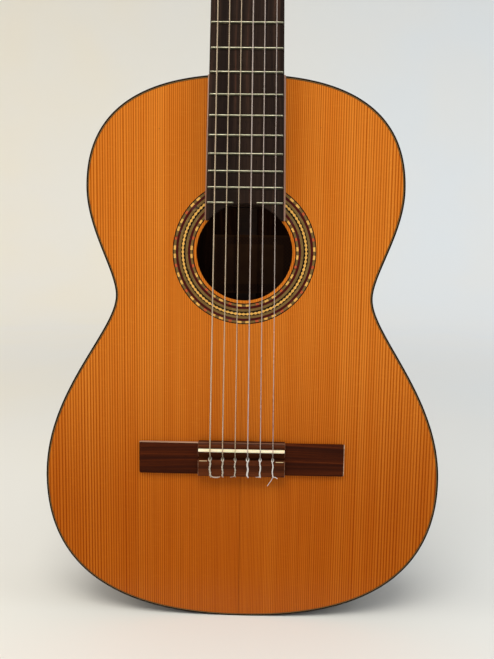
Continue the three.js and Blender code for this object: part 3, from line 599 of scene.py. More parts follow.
def pale_wood(name, base, light, late, spacing, along):
    """Bare straight-grained wood of the bars and linings."""
    t = Tree(name)
    g = t.grain_of_place(along)
    wander = t.math("SUBTRACT", t.fibres(g, 30.0, 200.0, 1.0), 0.5)
    phase = t.math("FRACT", t.times(t.linear(wander, 4.0, g[0]), 1.0 / spacing))
    dark = t.times(t.between(phase, 0.4, 0.85), t.between(phase, 1.0, 0.93))
    bands = t.fibres(g, 8.0, 200.0, 3.0, 0.6, 9.0)
    color = t.mix(t.between(bands, 0.3, 0.7), base, light)
    color = t.mix(t.times(dark, 0.6), color, late)
    t.finish(color, Roughness=t.linear(bands, 0.2, 0.55), Normal=t.bump(dark, 0.04))


def dyed_wood(name, color, contrast=0.35):
    """A veneer tile or line of one dye, with fine fibres, under the top's gloss."""
    t = Tree(name)
    fibre = t.noise(t.place(), 2600.0, 2.0, 0.6)
    cloud = t.noise(t.place(), 260.0)
    shade = t.mix(t.between(fibre, 0.3, 0.7), scaled(color, 1 - contrast), color)
    shade = t.mix(t.between(cloud, 0.4, 0.7, 0.3), shade, scaled(color, 1.3))
    t.finish(
        shade,
        Roughness=t.linear(fibre, 0.15, 0.4),
        Coat_Weight=0.2,
        Coat_Roughness=0.22,
        Specular_IOR_Level=0.06,
        Normal=t.bump(fibre, 0.008),
    )


def bone(name, color, worn, roughness=0.32):
    """Bone or ivory-like plastic with faint clouds, streaks and pores."""
    t = Tree(name)
    cloud = t.noise(t.place(), 140.0, 3.0, 0.6)
    streak = t.noise(t.place(), 900.0, 2.0, 0.6)
    shade = t.mix(t.between(cloud, 0.35, 0.7), color, worn)
    shade = t.mix(t.between(streak, 0.62, 0.75, 0.35), shade, scaled(worn, 0.55))
    t.finish(
        shade,
        Roughness=t.linear(streak, 0.15, roughness),
        Subsurface_Weight=0.15,
        Subsurface_Scale=0.002,
        Normal=t.bump(streak, 0.03),
    )


def metal(name, color, tarnish, roughness, wear):
    """Metal with cloudy tarnish and fine scratches."""
    t = Tree(name)
    cloud = t.noise(t.place(), 320.0, 4.0, 0.62)
    scratches = t.node("Mapping", {"Vector": t.place(), "Scale": (4000.0, 700.0, 900.0)}).outputs[0]
    line = t.noise(scratches, 1.0, 2.0, 0.7)
    shade = t.mix(t.between(cloud, 0.38, 0.72, wear), color, tarnish)
    rough = t.linear(t.between(cloud, 0.3, 0.75), 0.22, roughness)
    t.finish(shade, Metallic=1.0, Roughness=t.linear(line, 0.08, rough), Normal=t.bump(line, 0.008))


def wound_wire(name, color, tarnish, pitch):
    """Silver-plated wire wound round a core: the turns show as fine ridges along the string."""
    t = Tree(name)
    g = t.grain()
    ridge = t.linear(t.math("SINE", t.times(g[1], 2 * math.pi / pitch)), 0.5, 0.5)
    cloud = t.fibres(g, 40.0, 18.0, 3.0, 0.6)
    shade = t.mix(t.between(cloud, 0.35, 0.7, 0.6), color, tarnish)
    valley = t.math("SUBTRACT", 1.0, t.between(ridge, 0.0, 0.45))
    shade = t.mix(valley, shade, scaled(tarnish, 0.3))
    t.finish(shade, Metallic=0.35, Roughness=0.42, Normal=t.bump(ridge, pitch * 0.3))


def nylon(name, color, clear):
    """Clear nylon: bright, slightly milky and faintly worn."""
    t = Tree(name)
    cloud = t.fibres(t.grain(), 3.0, 9.0)
    t.finish(
        t.mix(t.between(cloud, 0.35, 0.7), color, scaled(color, 0.82)),
        Roughness=t.linear(cloud, 0.2, 0.15),
        Transmission_Weight=clear,
        IOR=1.53,
        Coat_Weight=0.3,
        Coat_Roughness=0.12,
        Normal=t.bump(cloud, 0.01),
    )


def pearl():
    """Pearloid plastic: swirled bright and grey flakes under a clear skin."""
    t = Tree("pearl_plastic")
    swirl = t.noise(t.place(), 170.0, 3.0, 0.55, distortion=2.4)
    flake = t.node("TexVoronoi", {"Vector": t.place(), "Scale": 420.0}).outputs["Color"]
    tone = t.node("SeparateXYZ", {0: flake}).outputs[0]
    shade = t.mix(t.between(swirl, 0.35, 0.68), (0.62, 0.60, 0.55), (0.93, 0.91, 0.85))
    shade = t.mix(t.times(tone, 0.25), shade, (0.98, 0.95, 0.93))
    t.finish(
        shade,
        Roughness=t.linear(swirl, 0.25, 0.12),
        Sheen_Weight=0.2,
        Coat_Weight=1.0,
        Coat_Roughness=0.04,
        Subsurface_Weight=0.1,
        Subsurface_Scale=0.002,
        Normal=t.bump(swirl, 0.02),
    )


def label_paper():
    """Old brown paper with stains and a plain patterned border, darkened all over with painted shade for the
    dim inside of the box.
    """
    t = Tree("label_paper")
    g = t.grain()
    (x0, z0), (half_x, half_z) = LABEL["middle"], LABEL["half"]
    from_side = t.math("SUBTRACT", half_x, t.away(g[0], x0))
    from_end = t.math("SUBTRACT", half_z, t.away(g[1], z0))
    from_edge = t.math("MINIMUM", from_side, from_end)
    weave = t.times(t.math("SINE", t.times(g[0], 1.7)), t.math("SINE", t.times(g[1], 1.7)))
    band = t.times(t.between(from_edge, 2.0, 2.3), t.between(from_edge, 9.6, 9.3))
    stain = t.fibres(g, 30.0, 30.0, 4.0, 0.6)
    fibre = t.fibres(g, 0.8, 0.8, 2.0, 0.6, 5.0)
    shade = t.mix(t.between(stain, 0.35, 0.7), (0.125, 0.046, 0.012), (0.092, 0.030, 0.008))
    shade = t.mix(t.times(band, t.linear(weave, 0.3, 0.5)), shade, (0.040, 0.011, 0.004))
    shade = t.mix(t.times(fibre, 0.15), shade, (0.11, 0.045, 0.015))
    t.finish(shade, Roughness=t.linear(fibre, 0.15, 0.8), Normal=t.bump(fibre, 0.03))


ROSEWOOD = ((0.022, 0.007, 0.004), (0.085, 0.028, 0.014), (0.17, 0.060, 0.026))
SPRUCE = ((0.50, 0.31, 0.15), (0.58, 0.38, 0.20), (0.36, 0.19, 0.08))

# Dark, base and light colours, then figure, pores, gloss, roughness, and True if it is mirrored.
HARDWOODS = {
    "rosewood": (*ROSEWOOD, 7.0, 0.7, 0.5, 0.34, True),
    "rib_rosewood": (*ROSEWOOD, 6.0, 0.7, 0.5, 0.34),
    # Matte rosewood for the inside faces, darkened with painted shade for the dim inside of the box.
    "bare_rosewood": (
        (0.021, 0.008, 0.004), (0.058, 0.021, 0.010), (0.10, 0.039, 0.017), 7.0, 0.7, 0.0, 0.75, True
    ),
    "bridge_rosewood": (
        (0.030, 0.006, 0.002), (0.070, 0.012, 0.002), (0.125, 0.026, 0.006), 3.0, 0.6, 0.02, 0.5
    ),
    "block_rosewood": (
        (0.040, 0.010, 0.003), (0.105, 0.024, 0.006), (0.18, 0.048, 0.012), 2.5, 0.6, 0.03, 0.5
    ),
    # A pale painted highlight for the bridge blocks' edges.
    "worn_edge": ((0.10, 0.040, 0.018), (0.22, 0.105, 0.060), (0.34, 0.18, 0.11), 3.0, 0.2, 0.1, 0.4),
    # A pale painted highlight for the bridge wings' front ridge and end.
    "worn_ridge": ((0.30, 0.17, 0.10), (0.60, 0.42, 0.28), (0.74, 0.56, 0.40), 3.0, 0.2, 0.3, 0.4),
    "lacquer_edge": ((0.22, 0.10, 0.055), (0.42, 0.23, 0.15), (0.55, 0.34, 0.24), 1.0, 0.2, 0.6, 0.3),
    "binding_rosewood": (
        (0.006, 0.003, 0.002), (0.016, 0.006, 0.004), (0.034, 0.012, 0.007), 2.0, 0.3, 0.08, 0.45
    ),
    "fingerboard_wood": (
        (0.014, 0.008, 0.006), (0.036, 0.020, 0.013), (0.11, 0.038, 0.022), 4.0, 0.8, 0.04, 0.5
    ),
    "neck_cedar": ((0.13, 0.045, 0.018), (0.23, 0.092, 0.038), (0.32, 0.14, 0.062), 8.0, 0.45, 0.3, 0.42),
}
# Base, light and late-wood colours, the rings' spacing, and the axis that the grain follows.
PALE_WOODS = {
    "bar_spruce": (*SPRUCE, 1.4, "x"),
    "fan_spruce": (*SPRUCE, 1.4, "z"),
    "brace_cedar": ((0.075, 0.030, 0.014), (0.10, 0.042, 0.02), (0.045, 0.018, 0.008), 1.4, "x"),
    "lining_cedar": ((0.25, 0.12, 0.055), (0.33, 0.17, 0.08), (0.17, 0.07, 0.03), 2.2, "z"),
}
DYED_WOODS = {
    "black_wood": ((0.009, 0.005, 0.004),),
    "maroon_wood": ((0.070, 0.006, 0.005),),
    "olive_wood": ((0.20, 0.115, 0.032),),
    "straw_wood": ((0.78, 0.42, 0.09), 0.25),
    "coral_wood": ((0.52, 0.095, 0.028), 0.3),
    "cream_wood": ((0.72, 0.55, 0.30), 0.25),
}
BONES = {
    "saddle_bone": ((0.97, 0.89, 0.63), (0.92, 0.81, 0.52)),
    "nut_bone": ((0.80, 0.70, 0.44), (0.70, 0.58, 0.33)),
    "roller_plastic": ((0.80, 0.76, 0.66), (0.70, 0.64, 0.50), 0.4),
}
METALS = {
    "nickel_silver": ((0.50, 0.48, 0.34), (0.30, 0.29, 0.19), 0.30, 0.6),
    "gilt_brass": ((0.80, 0.58, 0.26), (0.46, 0.30, 0.12), 0.20, 0.5),
    "screw_steel": ((0.62, 0.60, 0.57), (0.36, 0.33, 0.30), 0.28, 0.5),
}
# Colour, tarnish and the pitch of the turns.
WOUND_WIRES = {
    "wound_wire_6": ((0.80, 0.63, 0.43), (0.62, 0.48, 0.31), 0.32),
    "wound_wire_5": ((0.80, 0.63, 0.43), (0.62, 0.48, 0.31), 0.27),
    "wound_wire_4": ((0.80, 0.63, 0.43), (0.62, 0.48, 0.31), 0.22),
    "wound_tie_wire": ((0.90, 0.82, 0.66), (0.74, 0.64, 0.48), 0.3),
}
# The clear strings' warm, pinkish tint is partly painted light: the orange glow that they pick up from the
# top.
NYLONS = {"clear_nylon": ((0.76, 0.63, 0.55), 0.5), "white_nylon": ((0.92, 0.86, 0.78), 0.15)}


def materials():
    soundboard_wood()
    pearl()
    label_paper()
    kinds = (
        (hardwood, HARDWOODS),
        (pale_wood, PALE_WOODS),
        (dyed_wood, DYED_WOODS),
        (bone, BONES),
        (metal, METALS),
        (wound_wire, WOUND_WIRES),
        (nylon, NYLONS),
    )
    for make, table in kinds:
        for name, values in table.items():
            make(name, *values)


# ---- Body -----------------------------------------------------------------------------------

HOLE_RADIUS = 42.0
ROSETTE_INNER = 44.5
ROSETTE_GROOVE = 1.2
TILE_DEPTH = 1.1
# How far a binding's outer edge is rounded, and how deep the purfling lines go.
BINDING_ROUNDING = 0.5
BINDING_EDGE = 1.2
PURFLING_DEPTH = 1.6
PURFLINGS = (("olive", BINDING_WIDTH, 2.0), ("maroon", 2.0, EDGING_WIDTH))
HEEL_BUTTON = {"half": 13.8, "tip": 508.0, "gap_half": 14.2}
GRAFT_HALF = 6.0
GRAFT_LINE = 0.7


def seen_from_hole(loop, count):
    """A closed loop sampled at even angles round the soundhole's centre, and those directions."""
    centre = np.array((0.0, HOLE_Z))
    dense = respace(np.vstack([loop, loop[:1]]), 8000)[:-1] - centre
    angles = np.unwrap(np.arctan2(dense[:, 1], dense[:, 0]))
    radii = np.linalg.norm(dense, axis=1)
    wanted = angles[0] + turn_angles(count)
    r = np.interp(wanted, np.append(angles, angles[0] + 2 * math.pi), np.append(radii, radii[0]))
    directions = np.stack([np.cos(wanted), np.sin(wanted)], 1)
    return centre + r[:, None] * directions, directions


def soundboard():
    """The top, with its edge at the purfling and a groove for the rosette."""
    edge, directions = seen_from_hole(offset_loop(OUTLINE, EDGING_WIDTH), 900)

    def circle(radius, depth):
        return at_depth((0.0, HOLE_Z) + radius * directions, depth)

    rings = [
        circle(HOLE_RADIUS, PLATE_THICKNESS - 0.3),
        circle(HOLE_RADIUS, 0.35),
        circle(HOLE_RADIUS + 0.12, 0.1),
        circle(HOLE_RADIUS + 0.4, 0.0),
        circle(ROSETTE_INNER, 0.0),
        circle(ROSETTE_INNER, ROSETTE_GROOVE),
        circle(ROSETTE_OUTER, ROSETTE_GROOVE),
        circle(ROSETTE_OUTER, 0.0),
        circle(ROSETTE_OUTER + 2.0, 0.0),
        at_depth(edge, 0.0),
        at_depth(edge, PLATE_THICKNESS),
        circle(HOLE_RADIUS + 0.3, PLATE_THICKNESS),
    ]
    solid = loft(rings, closed=True)
    solid.paint(1, lambda x, y, z: y > PLATE_THICKNESS - 0.01)
    piece("soundboard_top", solid, "amber_softwood fan_spruce", "soundboard")


def hoop(profile, over_back, span):
    """A strip swept round the outline, or along a span of its points.

    The profile is a list of (inset, depth) points. Depths run back from the soundboard's face,
    or from the back's inner face if over_back is true.
    """
    place = at_back if over_back else at_depth
    rings = np.stack([place(offset_loop(OUTLINE, inset), depth) for inset, depth in profile], 1)
    return loft(rings, closed=True) if span is None else loft(rings[span])


def edging():
    """Rosewood bindings with rounded corners, and the purfling lines inside them."""
    corner = []
    for a in np.radians([75, 50, 25, 0]):
        corner.append((BINDING_ROUNDING * (1 - math.sin(a)), BINDING_ROUNDING * (1 - math.cos(a))))
    rim = [(0.0, BINDING_EDGE), *corner, (BINDING_WIDTH, 0.0)]
    # The back binding stops at the heel's button.
    last = int(np.flatnonzero(HALF[:, 0] > HEEL_BUTTON["gap_half"])[-1])
    sides = (("top", 0.0, 1, None), ("back", PLATE_THICKNESS, -1, range(-last, last + 1)))
    for side, face, inwards, span in sides:
        deep = inwards * BINDING_DEPTH
        profile = [(0.0, deep)] + [(i, face + inwards * d) for i, d in rim] + [(BINDING_WIDTH, deep)]
        solid = hoop(profile, side == "back", span)
        piece(f"{side}_binding_strip", solid, "binding_rosewood", f"{side}_binding")
        for color, a, b in PURFLINGS:
            under = face + inwards * PURFLING_DEPTH
            solid = hoop([(a, under), (a, face), (b, face), (b, under)], side == "back", span)
            piece(f"{side}_purfling_{color}", solid, f"{color}_wood")


def rib_grain():
    """Grain coordinates that run along the bent ribs, with other values on the bass side."""
    steps = np.linalg.norm(np.diff(HALF, axis=0), axis=1)
    lengths = np.concatenate([[0.0], np.cumsum(steps)])

    def grain(x, y, z):
        nearest = np.argmin((HALF[:, 0] - abs(x)) ** 2 + (HALF[:, 1] - z) ** 2)
        return (y, lengths[nearest] + (2000.0 if x < 0 else 0.0), 0.0)

    return grain


def ribs():
    """Two bent sides, and an end graft between pale lines where they meet at the tail."""
    inner = offset_loop(OUTLINE, RIB_THICKNESS)
    height = back_depth(OUTLINE[:, 0], OUTLINE[:, 1]) - 2 * BINDING_DEPTH
    rows = [at_depth(OUTLINE, BINDING_DEPTH + share * height) for share in np.linspace(0.0, 1.0, 9)]
    rows += [at_back(inner, -BINDING_DEPTH), at_depth(inner, BINDING_DEPTH)]
    count = len(rows)
    rings = np.stack(rows, 1)
    first = int(np.searchsorted(HALF[:40, 0], GRAFT_HALF + GRAFT_LINE + 0.1))
    last = OUTLINE_HALF_COUNT - 5
    for sign, name in ((1, "treble"), (-1, "bass")):
        solid = loft(rings[[sign * i for i in range(first, last + 1)]])
        # The last two points of each ring are the inner face.
        solid.marks = [int(all(i % count >= count - 2 for i in face)) for face in solid.faces]
        looks = "rib_rosewood bare_rosewood"
        piece(f"rib_{name}_side", solid, looks, f"rib_{name}", grain=rib_grain())
    strips = (
        ("end_graft", -GRAFT_HALF, GRAFT_HALF, "binding_rosewood"),
        ("graft_line_bass", -GRAFT_HALF - GRAFT_LINE, -GRAFT_HALF, "cream_wood"),
        ("graft_line_treble", GRAFT_HALF, GRAFT_HALF + GRAFT_LINE, "cream_wood"),
    )
    for name, a, b, look in strips:
        section = [(a, 0.0), (b, 0.0), (b, RIB_THICKNESS), (a, RIB_THICKNESS)]
        depths = np.linspace(BINDING_DEPTH, back_depth(0.0, 0.0) - BINDING_DEPTH, 5)
        piece(name, loft([[(x, y, z) for x, z in section] for y in depths]), look)


def back_plate():
    """The arched back with the button over the heel, and the inlay along its centre joint."""
    edge = offset_loop(OUTLINE, EDGING_WIDTH)
    centre = np.array((0.0, WAIST[1]))
    shares = (1.0, 0.97, 0.9, 0.8, 0.68, 0.55, 0.42, 0.28, 0.14, 0.02)
    shrunk = [centre + (edge - centre) * share for share in shares]
    outer = [at_back(loop, PLATE_THICKNESS) for loop in shrunk]
    inner = [at_back(loop, 0.0) for loop in shrunk]
    solid = loft(outer[::-1] + inner)
    solid.paint(1, lambda x, y, z: y < back_depth(x, z) + 0.1)
    piece("back_plate_arched", solid, "rosewood bare_rosewood", "back_plate")
    half = HEEL_BUTTON["half"]
    foot = BODY_LENGTH - EDGING_WIDTH - 0.3
    tab = np.vstack([[(-half, foot), (half, foot)], arc((0, HEEL_BUTTON["tip"] - half), half, 0, 180, 25)])

    def place(points, side, shift):
        return at_back(points, PLATE_THICKNESS * side + shift)

    piece("heel_button", slab(tab, [], place, 0.5), "rosewood")
    inlays = (("middle", -1.1, 1.1, "maroon"), ("left", -1.6, -1.1, "cream"), ("right", 1.1, 1.6, "cream"))
    for name, a, b, color in inlays:
        rings = []
        for z in np.linspace(EDGING_WIDTH, BODY_LENGTH - EDGING_WIDTH, 60):
            y = back_depth(0.0, z) + PLATE_THICKNESS
            rings.append([(a, y + 0.03, z), (b, y + 0.03, z), (b, y - 0.6, z), (a, y - 0.6, z)])
        piece(f"back_inlay_{name}", loft(rings), f"{color}_wood")


def label():
    """A paper label glued over the strip that reinforces the back's centre joint."""
    (x0, z0), (half_x, half_z) = LABEL["middle"], LABEL["half"]
    strip = {"half": 14.0, "slope": 3.5, "height": 3.4}
    glue = 0.3
    paper = 0.2
    xs = np.linspace(x0 - half_x, x0 + half_x, 81)
    lift = np.array([strip["height"] * smoothstep((strip["half"] - abs(x)) / strip["slope"]) for x in xs])
    rings = []
    for z in np.linspace(z0 - half_z, z0 + half_z, 13):
        rear = back_depth(xs, z) - glue - lift
        front = [(x, y - paper, z) for x, y in zip(xs, rear)]
        rings.append(front + [(x, y, z) for x, y in zip(xs[::-1], rear[::-1])])
    piece("paper_label", loft(rings), "label_paper")


# ---- Rosette --------------------------------------------------------------------------------

# From the hole outwards: inner radius, outer radius and wood. Dashes are in degrees.
PLAIN_RINGS = (
    (44.5, 45.5, "black"),
    (47.3, 49.5, "maroon"),
    (49.5, 51.7, "olive"),
    (51.7, 52.75, "black"),
    (55.25, 55.8, "black"),
    (55.8, 57.9, "olive"),
    (57.9, 60.1, "maroon"),
    (62.0, 62.9, "black"),
)
INNER_DASHES = {"inner": 45.5, "outer": 47.3, "count": 12, "gap_half": 4.4, "dash": 4.5, "coral": 3.2}
OUTER_DASHES = {"inner": 60.1, "outer": 62.0, "count": 16, "gap_half": 3.4, "dash": 3.5, "coral": 2.6}
ROPE = {"inner": 52.75, "outer": 55.25, "count": 96, "neck_half": 0.38}
ROSETTE_WOODS = ("black", "maroon", "olive", "straw", "coral")


def ring_cell(inner, outer, start, stop, wood):
    """A tile between two radii and two angles in degrees."""
    steps = max(2, math.ceil((stop - start) / 1.5) + 1)
    near = arc((0, HOLE_Z), inner, start, stop, steps)
    far = arc((0, HOLE_Z), outer, start, stop, steps)
    rings = []
    for (x0, z0), (x1, z1) in zip(near, far):
        rings.append([(x0, 0.0, z0), (x1, 0.0, z1), (x1, TILE_DEPTH, z1), (x0, TILE_DEPTH, z0)])
    return loft(rings, mark=ROSETTE_WOODS.index(wood))


def dashed_ring(inner, outer, count, gap_half, dash, coral):
    """Repeats of two straw dashes and, half way to the next pair, one coral dash, in olive."""
    period = 360.0 / count
    solids = []
    for k in range(count):
        middle = 180.0 + k * period
        marks = ((-gap_half, dash, "straw"), (gap_half, dash, "straw"), (period / 2, coral, "coral"))
        at = middle - period / 2 + coral / 2
        for offset, width, wood in marks:
            start = middle + offset - width / 2
            stop = middle + offset + width / 2
            solids.append(ring_cell(inner, outer, at, start, "olive"))
            solids.append(ring_cell(inner, outer, start, stop, wood))
            at = stop
    return solids


def rope(inner, outer, count, neck_half):
    """A chain of straw diamonds between black triangles."""
    solids = []
    near_side = (inner + outer) / 2 - neck_half
    far_side = (inner + outer) / 2 + neck_half
    period = 360.0 / count

    def tile(wood, *corners):
        rings = []
        for depth in (0.0, TILE_DEPTH):
            ring = []
            for radius, angle in corners:
                a = math.radians(angle)
                ring.append((radius * math.cos(a), depth, HOLE_Z + radius * math.sin(a)))
            rings.append(ring)
        solids.append(loft(rings, mark=ROSETTE_WOODS.index(wood)))

    for k in range(count):
        a = k * period
        last = a - period / 2
        tip = a + period / 2
        near_tips = ((near_side, last), (inner, a), (near_side, tip))
        tile("straw", *near_tips, (far_side, tip), (outer, a), (far_side, last))
        tile("black", (inner, a), (inner, a + period), (near_side, tip))
        tile("black", (outer, a + period), (outer, a), (far_side, tip))
    return solids


def rosette():
    solids = []
    for inner, outer, wood in PLAIN_RINGS:
        solids += [ring_cell(inner, outer, a, a + 30.0, wood) for a in range(0, 360, 30)]
    solids += dashed_ring(**INNER_DASHES)
    solids += rope(**ROPE)
    solids += dashed_ring(**OUTER_DASHES)
    looks = " ".join(f"{wood}_wood" for wood in ROSETTE_WOODS)
    piece("rosette_mosaic", merged(solids), looks, "rosette")


# ---- Fingerboard, frets and nut -------------------------------------------------------------

BOARD_END_RADIUS = 41.7
FILLET = {"bass": 1.5, "treble": 1.7}
FILLET_HEIGHT = 1.4
FRET = {"inset": 0.9, "half": 1.0, "crown": 1.05, "seat": 0.3}
# How a fret's ends are filed: distance from the end, and the share of the crown's height.
FRET_ENDS = ((0.0, 0.35), (0.5, 0.8), (1.1, 1.0))
FRET_19_GAP_HALF = 10.0
NUT_BEARING = 8.3
NUT_LIP = 1.0


def board_half(z):
    slope = (BOARD_END_HALF - NUT_HALF) / (NUT_Z - BOARD_END_Z)
    return NUT_HALF + (NUT_Z - z) * slope


def fret_z(n):
    return NUT_Z - SCALE_LENGTH * (1 - 2 ** (-n / 12))


def string_x(number, spacing):
    return (3.5 - number) * spacing


def fingerboard():
    """The board, cut round over the soundhole, and the lacquer in its corners with the top."""
    rise = BOARD_END_Z - HOLE_Z
    angle = math.degrees(math.asin(rise / BOARD_END_RADIUS))
    end = arc((0, HOLE_Z), BOARD_END_RADIUS, 180 - angle, angle, 41)
    side = [(board_half(z), z) for z in np.linspace(BOARD_END_Z, NUT_Z, 12)]
    loop = without_repeats(np.vstack([end, side, [(-x, z) for x, z in side[::-1]]]))
    solid = slab(loop, [], across("y", -BOARD_TOP, 0.0), 0.45)
    piece("fingerboard_plate", solid, "fingerboard_wood", "fingerboard")
    for sign, name in ((-1, "bass"), (1, "treble")):
        width = sign * FILLET[name]
        rings = []
        for z in np.linspace(BOARD_END_Z + 0.5, BODY_LENGTH - 1.0, 14):
            x = sign * (board_half(z) - 0.05)
            face = [(x, -FILLET_HEIGHT, z), (x + width * 0.45, -0.45, z), (x + width, 0.0, z)]
            rings.append([(x, 0.0, z)] + face)
        piece(f"lacquer_fillet_{name}", loft(rings), "lacquer_edge")


def fret(name, n, x0, x1):
    """A domed crown with ends filed to a slope."""
    z = fret_z(n)
    half = FRET["half"]
    seat = -BOARD_TOP + FRET["seat"]
    angles = np.radians(np.linspace(0, 180, 11))

    def ring(x, share):
        crown = FRET["crown"] * share
        top = [(x, -BOARD_TOP - crown * math.sin(a) - 0.02, z + half * math.cos(a)) for a in angles]
        return [(x, seat, z + half)] + top + [(x, seat, z - half)]

    reach = FRET_ENDS[-1][0]
    rings = [ring(x0 + inset, share) for inset, share in FRET_ENDS]
    rings += [ring(x, 1.0) for x in np.linspace(x0 + reach, x1 - reach, 8)[1:-1]]
    rings += [ring(x1 - inset, share) for inset, share in FRET_ENDS[::-1]]
    piece(f"{name}_wire", loft(rings), "nickel_silver", name)


def frets():
    for n in range(1, 20):
        half = board_half(fret_z(n)) - FRET["inset"]
        if n < 19:
            fret(f"fret_{n:02d}", n, -half, half)
        else:
            fret("fret_19_bass", n, -half, -FRET_19_GAP_HALF)
            fret("fret_19_treble", n, FRET_19_GAP_HALF, half)


def nut():
    """A bone nut that falls away towards the head, with a groove for each string."""

    def ring(z, top, groove):
        points = []
        for x in np.linspace(-NUT_HALF, NUT_HALF, 241):
            depth = 0.0
            for number, radius in STRING_RADII.items():
                share = abs(x - string_x(number, NUT_SPACING)) / (radius + 0.25)
                if share < 1:
                    depth = max(depth, groove * math.sqrt(1 - share**2))
            past_corner = max(0.0, abs(x) - NUT_HALF + 1.2)
            points.append((x, depth + past_corner**2 * 0.5 - top, z))
        return points + [(NUT_HALF, 0.0, z), (-NUT_HALF, 0.0, z)]

    top = NUT_BEARING + NUT_LIP
    rings = [
        ring(NUT_Z + 0.1, top - 0.3, NUT_LIP),
        ring(NUT_Z + 0.5, top, NUT_LIP),
        ring(NUT_Z + 1.2, top, NUT_LIP),
        ring(NUT_Z + 2.6, top - 0.7, NUT_LIP + 0.3),
        ring(NUT_Z + 4.3, top - 1.9, NUT_LIP + 0.5),
        ring(NUT_Z + 4.8, top - 2.4, NUT_LIP + 0.5),
    ]
    piece("nut_bone", loft(rings), "nut_bone", "nut", crease=50)


# ---- Bridge ---------------------------------------------------------------------------------

BLOCK_HALF = 39.0
BLOCK_Z = (136.4, 166.8)
BLOCK_TOP = 8.5
WING_TOP = 3.5
WING_Z = (136.3, 165.5)
# A wing's rounding: distance in from its long edge, and height above WING_TOP.
WING_EDGE = ((0.0, -1.2), (0.5, -0.45), (1.5, -0.1), (4.0, 0.12))
WING_CROWN = 0.3
CHANNEL_Z = (151.0, 156.4)
CHANNEL_FLOOR = 3.1
SLOT_HALF = 1.3
SLOT_FLOOR = 3.6
HOLE_HEIGHT = 5.0
STRING_HOLE_RADIUS = 1.0
INLAY = {"inner": 30.6, "outer": BLOCK_HALF - 1.4, "z": CHANNEL_Z[0] - 0.65, "half": 0.28}


def bridge_wing(sign, name):
    """A low wing with a crowned top that thins towards its end."""
    z0, z1 = WING_Z
    # Along the wing: distance from the middle, share of the height, and trim of the edges.
    stations = (
        (BLOCK_HALF - 0.5, 1.0, 0.0),
        (60.0, 1.0, 0.0),
        (BRIDGE_HALF - 1.8, 0.97, 0.0),
        (BRIDGE_HALF - 0.8, 0.80, 0.2),
        (BRIDGE_HALF, 0.55, 0.4),
    )
    rings = []
    for x, share, trim in stations:
        edge = [(trim, 0.0)] + [(trim + inset, (WING_TOP + rise) * share) for inset, rise in WING_EDGE]
        section = [(z0 + inset, h) for inset, h in edge]
        section.append(((z0 + z1) / 2, (WING_TOP + WING_CROWN) * share))
        section += [(z1 - inset, h) for inset, h in edge[::-1]]
        rings.append([(sign * x, -h, z) for z, h in section])
    solid = loft(rings)
    # The bass wing's front ridge and the treble wing's end are painted pale: painted highlights where their
    # faces catch the light from above.
    solid.paint(1, lambda x, y, z: z > z1 - 0.8 if sign < 0 else x > BRIDGE_HALF - 0.45)
    looks = "bridge_rosewood worn_ridge"
    piece(f"bridge_wing_{name}", solid, looks, grain=across_body)


def saddle_block():
    """The block that holds the saddle in its slot, and the channel's floor behind it."""
    rear, front = BLOCK_Z
    slot_rear = SADDLE_Z - SLOT_HALF
    slot_front = SADDLE_Z + SLOT_HALF
    section = [
        (rear + 0.2, 0.0),
        (front, 0.0),
        (front, BLOCK_TOP - 3.2),
        (front - 0.6, BLOCK_TOP - 2.2),
        (front - 2.2, BLOCK_TOP - 1.2),
        (slot_front + 0.5, BLOCK_TOP - 0.7),
        (slot_front, BLOCK_TOP - 0.9),
        (slot_front, SLOT_FLOOR),
        (slot_rear, SLOT_FLOOR),
        (slot_rear, BLOCK_TOP - 1.2),
        (slot_rear - 0.5, BLOCK_TOP - 1.1),
        (CHANNEL_Z[1], BLOCK_TOP - 1.4),
        (CHANNEL_Z[1] - 1.6, BLOCK_TOP - 3.0),
        (CHANNEL_Z[0] + 1.4, CHANNEL_FLOOR + 0.2),
        (CHANNEL_Z[0] - 0.5, CHANNEL_FLOOR),
        (rear + 0.2, CHANNEL_FLOOR),
    ]
    solid = slab(section, [], across("x", -BLOCK_HALF, BLOCK_HALF), 0.4)
    # The block's end bevels and its front top edge get a pale painted highlight.
    solid.paint(1, lambda x, y, z: BLOCK_HALF - 0.39 < abs(x) < BLOCK_HALF - 0.01)
    solid.paint(1, lambda x, y, z: z > front - 0.59 and -y > BLOCK_TOP - 3.1)
    looks = "block_rosewood worn_edge"
    piece("bridge_saddle_block", solid, looks, "bridge", grain=across_body)


def tie_block():
    """The block drilled for the strings, and the pale inlay at each end of its front edge."""
    corner = [(0.0, 2.6 - BLOCK_TOP), (0.0, -0.6), (0.2, -0.2), (0.6, 0.0)]
    corner = [(BLOCK_HALF - inset, BLOCK_TOP + rise) for inset, rise in corner]
    section = corner + [(-x, h) for x, h in corner[::-1]]
    holes = []
    for number in STRING_RADII:
        centre = (string_x(number, SADDLE_SPACING), HOLE_HEIGHT)
        holes.append(arc(centre, STRING_HOLE_RADIUS, 360, 0, 19)[:-1])
    solid = slab(section, holes, across("z", BLOCK_Z[0], CHANNEL_Z[0]), 0.35)
    # The top corners at the block's ends get a pale painted highlight.
    solid.paint(1, lambda x, y, z: abs(x) > BLOCK_HALF - 0.65 and y < -BLOCK_TOP + 0.7)
    looks = "block_rosewood worn_edge"
    piece("bridge_tie_block", solid, looks, grain=across_body)
    top = -BLOCK_TOP - 0.04
    bottom = -BLOCK_TOP + 0.5
    z0 = INLAY["z"] - INLAY["half"]
    z1 = INLAY["z"] + INLAY["half"]
    for sign, name in ((1, "treble"), (-1, "bass")):
        rings = []
        for x in sign * np.linspace(INLAY["inner"], INLAY["outer"], 4):
            rings.append([(x, top, z0), (x, top, z1), (x, bottom, z1), (x, bottom, z0)])
        piece(f"tie_inlay_{name}", loft(rings), "cream_wood", grain=across_body)


